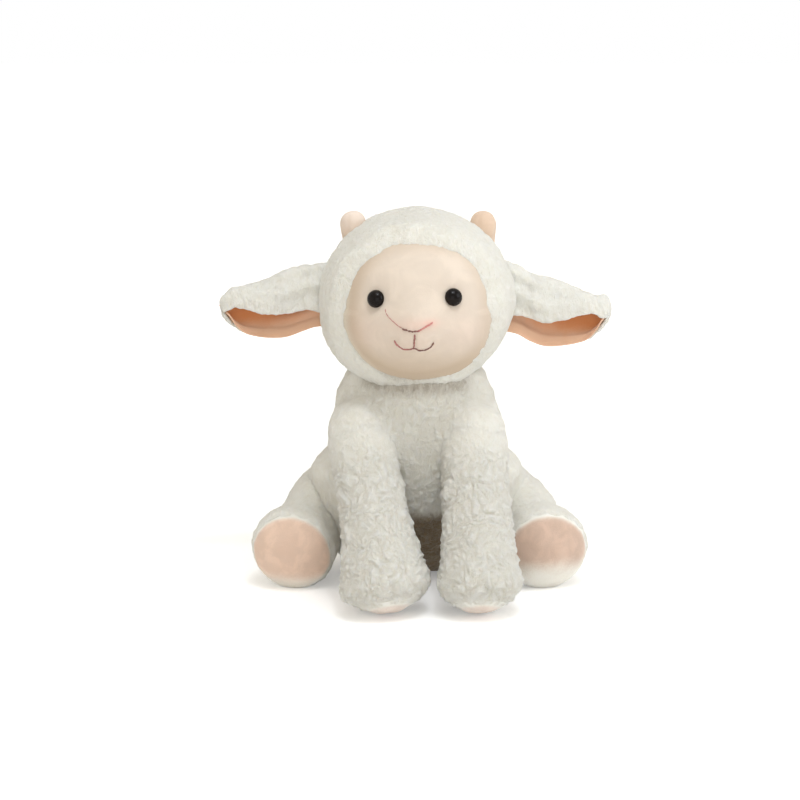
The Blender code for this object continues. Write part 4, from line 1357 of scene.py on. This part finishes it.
class LAMB_OT_stage(bpy.types.Operator):
    """Sets up the floor, the light and the camera"""

    bl_idname = "lamb.stage"
    bl_label = "Stage"

    def execute(self, context):
        scene = context.scene
        stage = scene.lamb_stage

        shape = bmesh.new()
        bmesh.ops.create_grid(shape, x_segments=1, y_segments=1, size=6)
        floor = add_piece("floor", shape, floor_material("floor_paper"))

        world = bpy.data.worlds.new("Studio")
        world.use_nodes = True
        tree = world.node_tree
        sky = tree.nodes["Background"]
        sky.inputs["Color"].default_value = (1.0, 0.925, 0.800, 1)
        sky.inputs["Strength"].default_value = stage.sky
        paper = tree.nodes.new("ShaderNodeBackground")
        paper.inputs["Color"].default_value = (1, 1, 1, 1)
        seen = tree.nodes.new("ShaderNodeMixShader")
        tree.links.new(looked_at(tree).socket, seen.inputs["Fac"])
        tree.links.new(sky.outputs[0], seen.inputs[1])
        tree.links.new(paper.outputs[0], seen.inputs[2])
        tree.links.new(seen.outputs[0], tree.nodes["World Output"].inputs["Surface"])
        scene.world = world

        aim = Vector((0, 0, stage.aim_z))
        cool, warm = (0.895, 0.940, 1.0), (1.0, 0.95, 0.86)
        for name, place, size, power, colour in (
            ("top", Vector((0.15, -0.50, 1.55)), 0.9, stage.top * 0.78, cool),
            ("sparkle", Vector((0.15, -0.62, 1.50)), 0.11, stage.top * 0.22, cool),
            ("right", Vector((1.50, -0.50, 0.80)), 1.0, stage.right, cool),
            ("low", Vector((-1.30, -0.70, 0.30)), 1.0, stage.low, warm),
            ("front", Vector((0.05, -1.50, 0.35)), 1.0, stage.front, cool),
        ):
            lamp = bpy.data.lights.new(name, "AREA")
            lamp.color = colour
            lamp.shape = "SQUARE"
            lamp.size = size
            lamp.energy = power
            holder = bpy.data.objects.new(name, lamp)
            holder.location = place
            holder.rotation_euler = (aim - place).to_track_quat("-Z", "Y").to_euler()
            scene.collection.objects.link(holder)

        camera = bpy.data.cameras.new("camera")
        camera.sensor_width = 36
        camera.lens = 36 * stage.distance / stage.view_width
        camera.shift_x = stage.shift
        holder = bpy.data.objects.new("camera", camera)
        offset = Vector((0, -math.cos(stage.elevation), math.sin(stage.elevation))) * stage.distance
        holder.location = aim + offset
        holder.rotation_euler = (-offset).to_track_quat("-Z", "Y").to_euler()
        scene.collection.objects.link(holder)
        scene.camera = holder
        scene.view_settings.view_transform = "Standard"
        return {"FINISHED"}


def looked_at(tree):
    """1 for what the camera sees, directly, in a gloss or through something clear."""
    ray = tree.nodes.new("ShaderNodeLightPath")
    camera, glossy, clear = (
        Field(tree, ray.outputs[name]) for name in ("Is Camera Ray", "Is Glossy Ray", "Is Transmission Ray")
    )
    return (camera + glossy + clear).clear(0.0, 1.0)


def floor_material(name):
    """Pale paper that takes the lamb's shadow, and shows white elsewhere."""
    material, shader, place = new_material(name, 0.9)
    paper = grain(place, 60.0, 2.0)
    feed(shader, "Base Color", paper.tinted((0.97, 0.97, 0.965), (1.0, 1.0, 0.995)))
    tree = material.node_tree
    glow = tree.nodes.new("ShaderNodeEmission")
    away = place.node("ShaderNodeVectorMath", {"operation": "LENGTH"}, {0: place}, 1)
    glow.inputs["Strength"].default_value = 1.0
    tree.links.new(away.clear(0.25, 1.3).tinted((0.26,) * 3, (0.62,) * 3).socket, glow.inputs["Color"])
    both = tree.nodes.new("ShaderNodeAddShader")
    seen = tree.nodes.new("ShaderNodeMixShader")
    tree.links.new(shader.outputs[0], both.inputs[0])
    tree.links.new(glow.outputs[0], both.inputs[1])
    tree.links.new(looked_at(tree).socket, seen.inputs["Fac"])
    tree.links.new(shader.outputs[0], seen.inputs[1])
    tree.links.new(both.outputs[0], seen.inputs[2])
    tree.links.new(seen.outputs[0], tree.nodes["Material Output"].inputs["Surface"])
    return material


class LAMB_OT_finishes(bpy.types.Operator):
    """Mixes the fabrics and finishes that the pieces wear"""

    bl_idname = "lamb.finishes"
    bl_label = "Finishes"

    def execute(self, context):
        colours = context.scene.lamb_colours
        finishes["fleece"] = fleece_material("fleece_pile", colours)
        finishes["face"] = face_material("face_velvet", colours)
        finishes["lining"] = lining_material("ear_lining", colours)
        finishes["right_pad"] = pad_material("right_foot_pad", colours, colours.pad)
        # painted shade: the left foot's pad is a darker copy of the pad velvet
        finishes["left_pad"] = pad_material("left_foot_pad_shaded", colours, tuple(v * 0.78 for v in colours.pad))
        finishes["sole"] = pad_material("foot_sole", colours, colours.sole)
        finishes["horn"] = horn_material("horn_velvet", colours)
        finishes["thread"] = thread_material("embroidery_thread", colours.thread, colours.thread_faded)
        finishes["eye"] = eye_material("eye_plastic", colours.eye)
        finishes["plastic"] = plastic_material("washer_plastic", (0.8, 0.8, 0.78))
        return {"FINISHED"}


finishes = {}


class LAMB_PT_pieces(bpy.types.Panel):
    """Lists the lamb's pieces and their sizes"""

    bl_label = "Plush lamb"
    bl_idname = "LAMB_PT_pieces"
    bl_space_type = "VIEW_3D"
    bl_region_type = "UI"
    bl_category = "Lamb"

    def draw(self, context):
        layout = self.layout
        for group in (context.scene.lamb_sizes, context.scene.lamb_colours, context.scene.lamb_stage):
            column = layout.column()
            for name in group.__annotations__:
                column.prop(group, name)
        for step in STEPS:
            layout.operator(step.bl_idname)


STEPS = (
    LAMB_OT_finishes, LAMB_OT_body, LAMB_OT_head, LAMB_OT_face, LAMB_OT_eyes, LAMB_OT_stitches, LAMB_OT_horns,
    LAMB_OT_ears, LAMB_OT_front_legs, LAMB_OT_hind_legs, LAMB_OT_tail, LAMB_OT_stage,
)
GROUPS = (("lamb_sizes", LambSizes), ("lamb_colours", LambColours), ("lamb_stage", LambStage))


def register():
    for name, group in GROUPS:
        bpy.utils.register_class(group)
        setattr(bpy.types.Scene, name, bpy.props.PointerProperty(type=group))
    for step in (*STEPS, LAMB_PT_pieces):
        bpy.utils.register_class(step)


def unregister():
    for step in (LAMB_PT_pieces, *reversed(STEPS)):
        bpy.utils.unregister_class(step)
    for name, group in reversed(GROUPS):
        delattr(bpy.types.Scene, name)
        bpy.utils.unregister_class(group)


def main():
    register()
    for step in STEPS:
        getattr(bpy.ops.lamb, step.bl_idname.split(".")[1])()


if __name__ == "__main__":
    main()
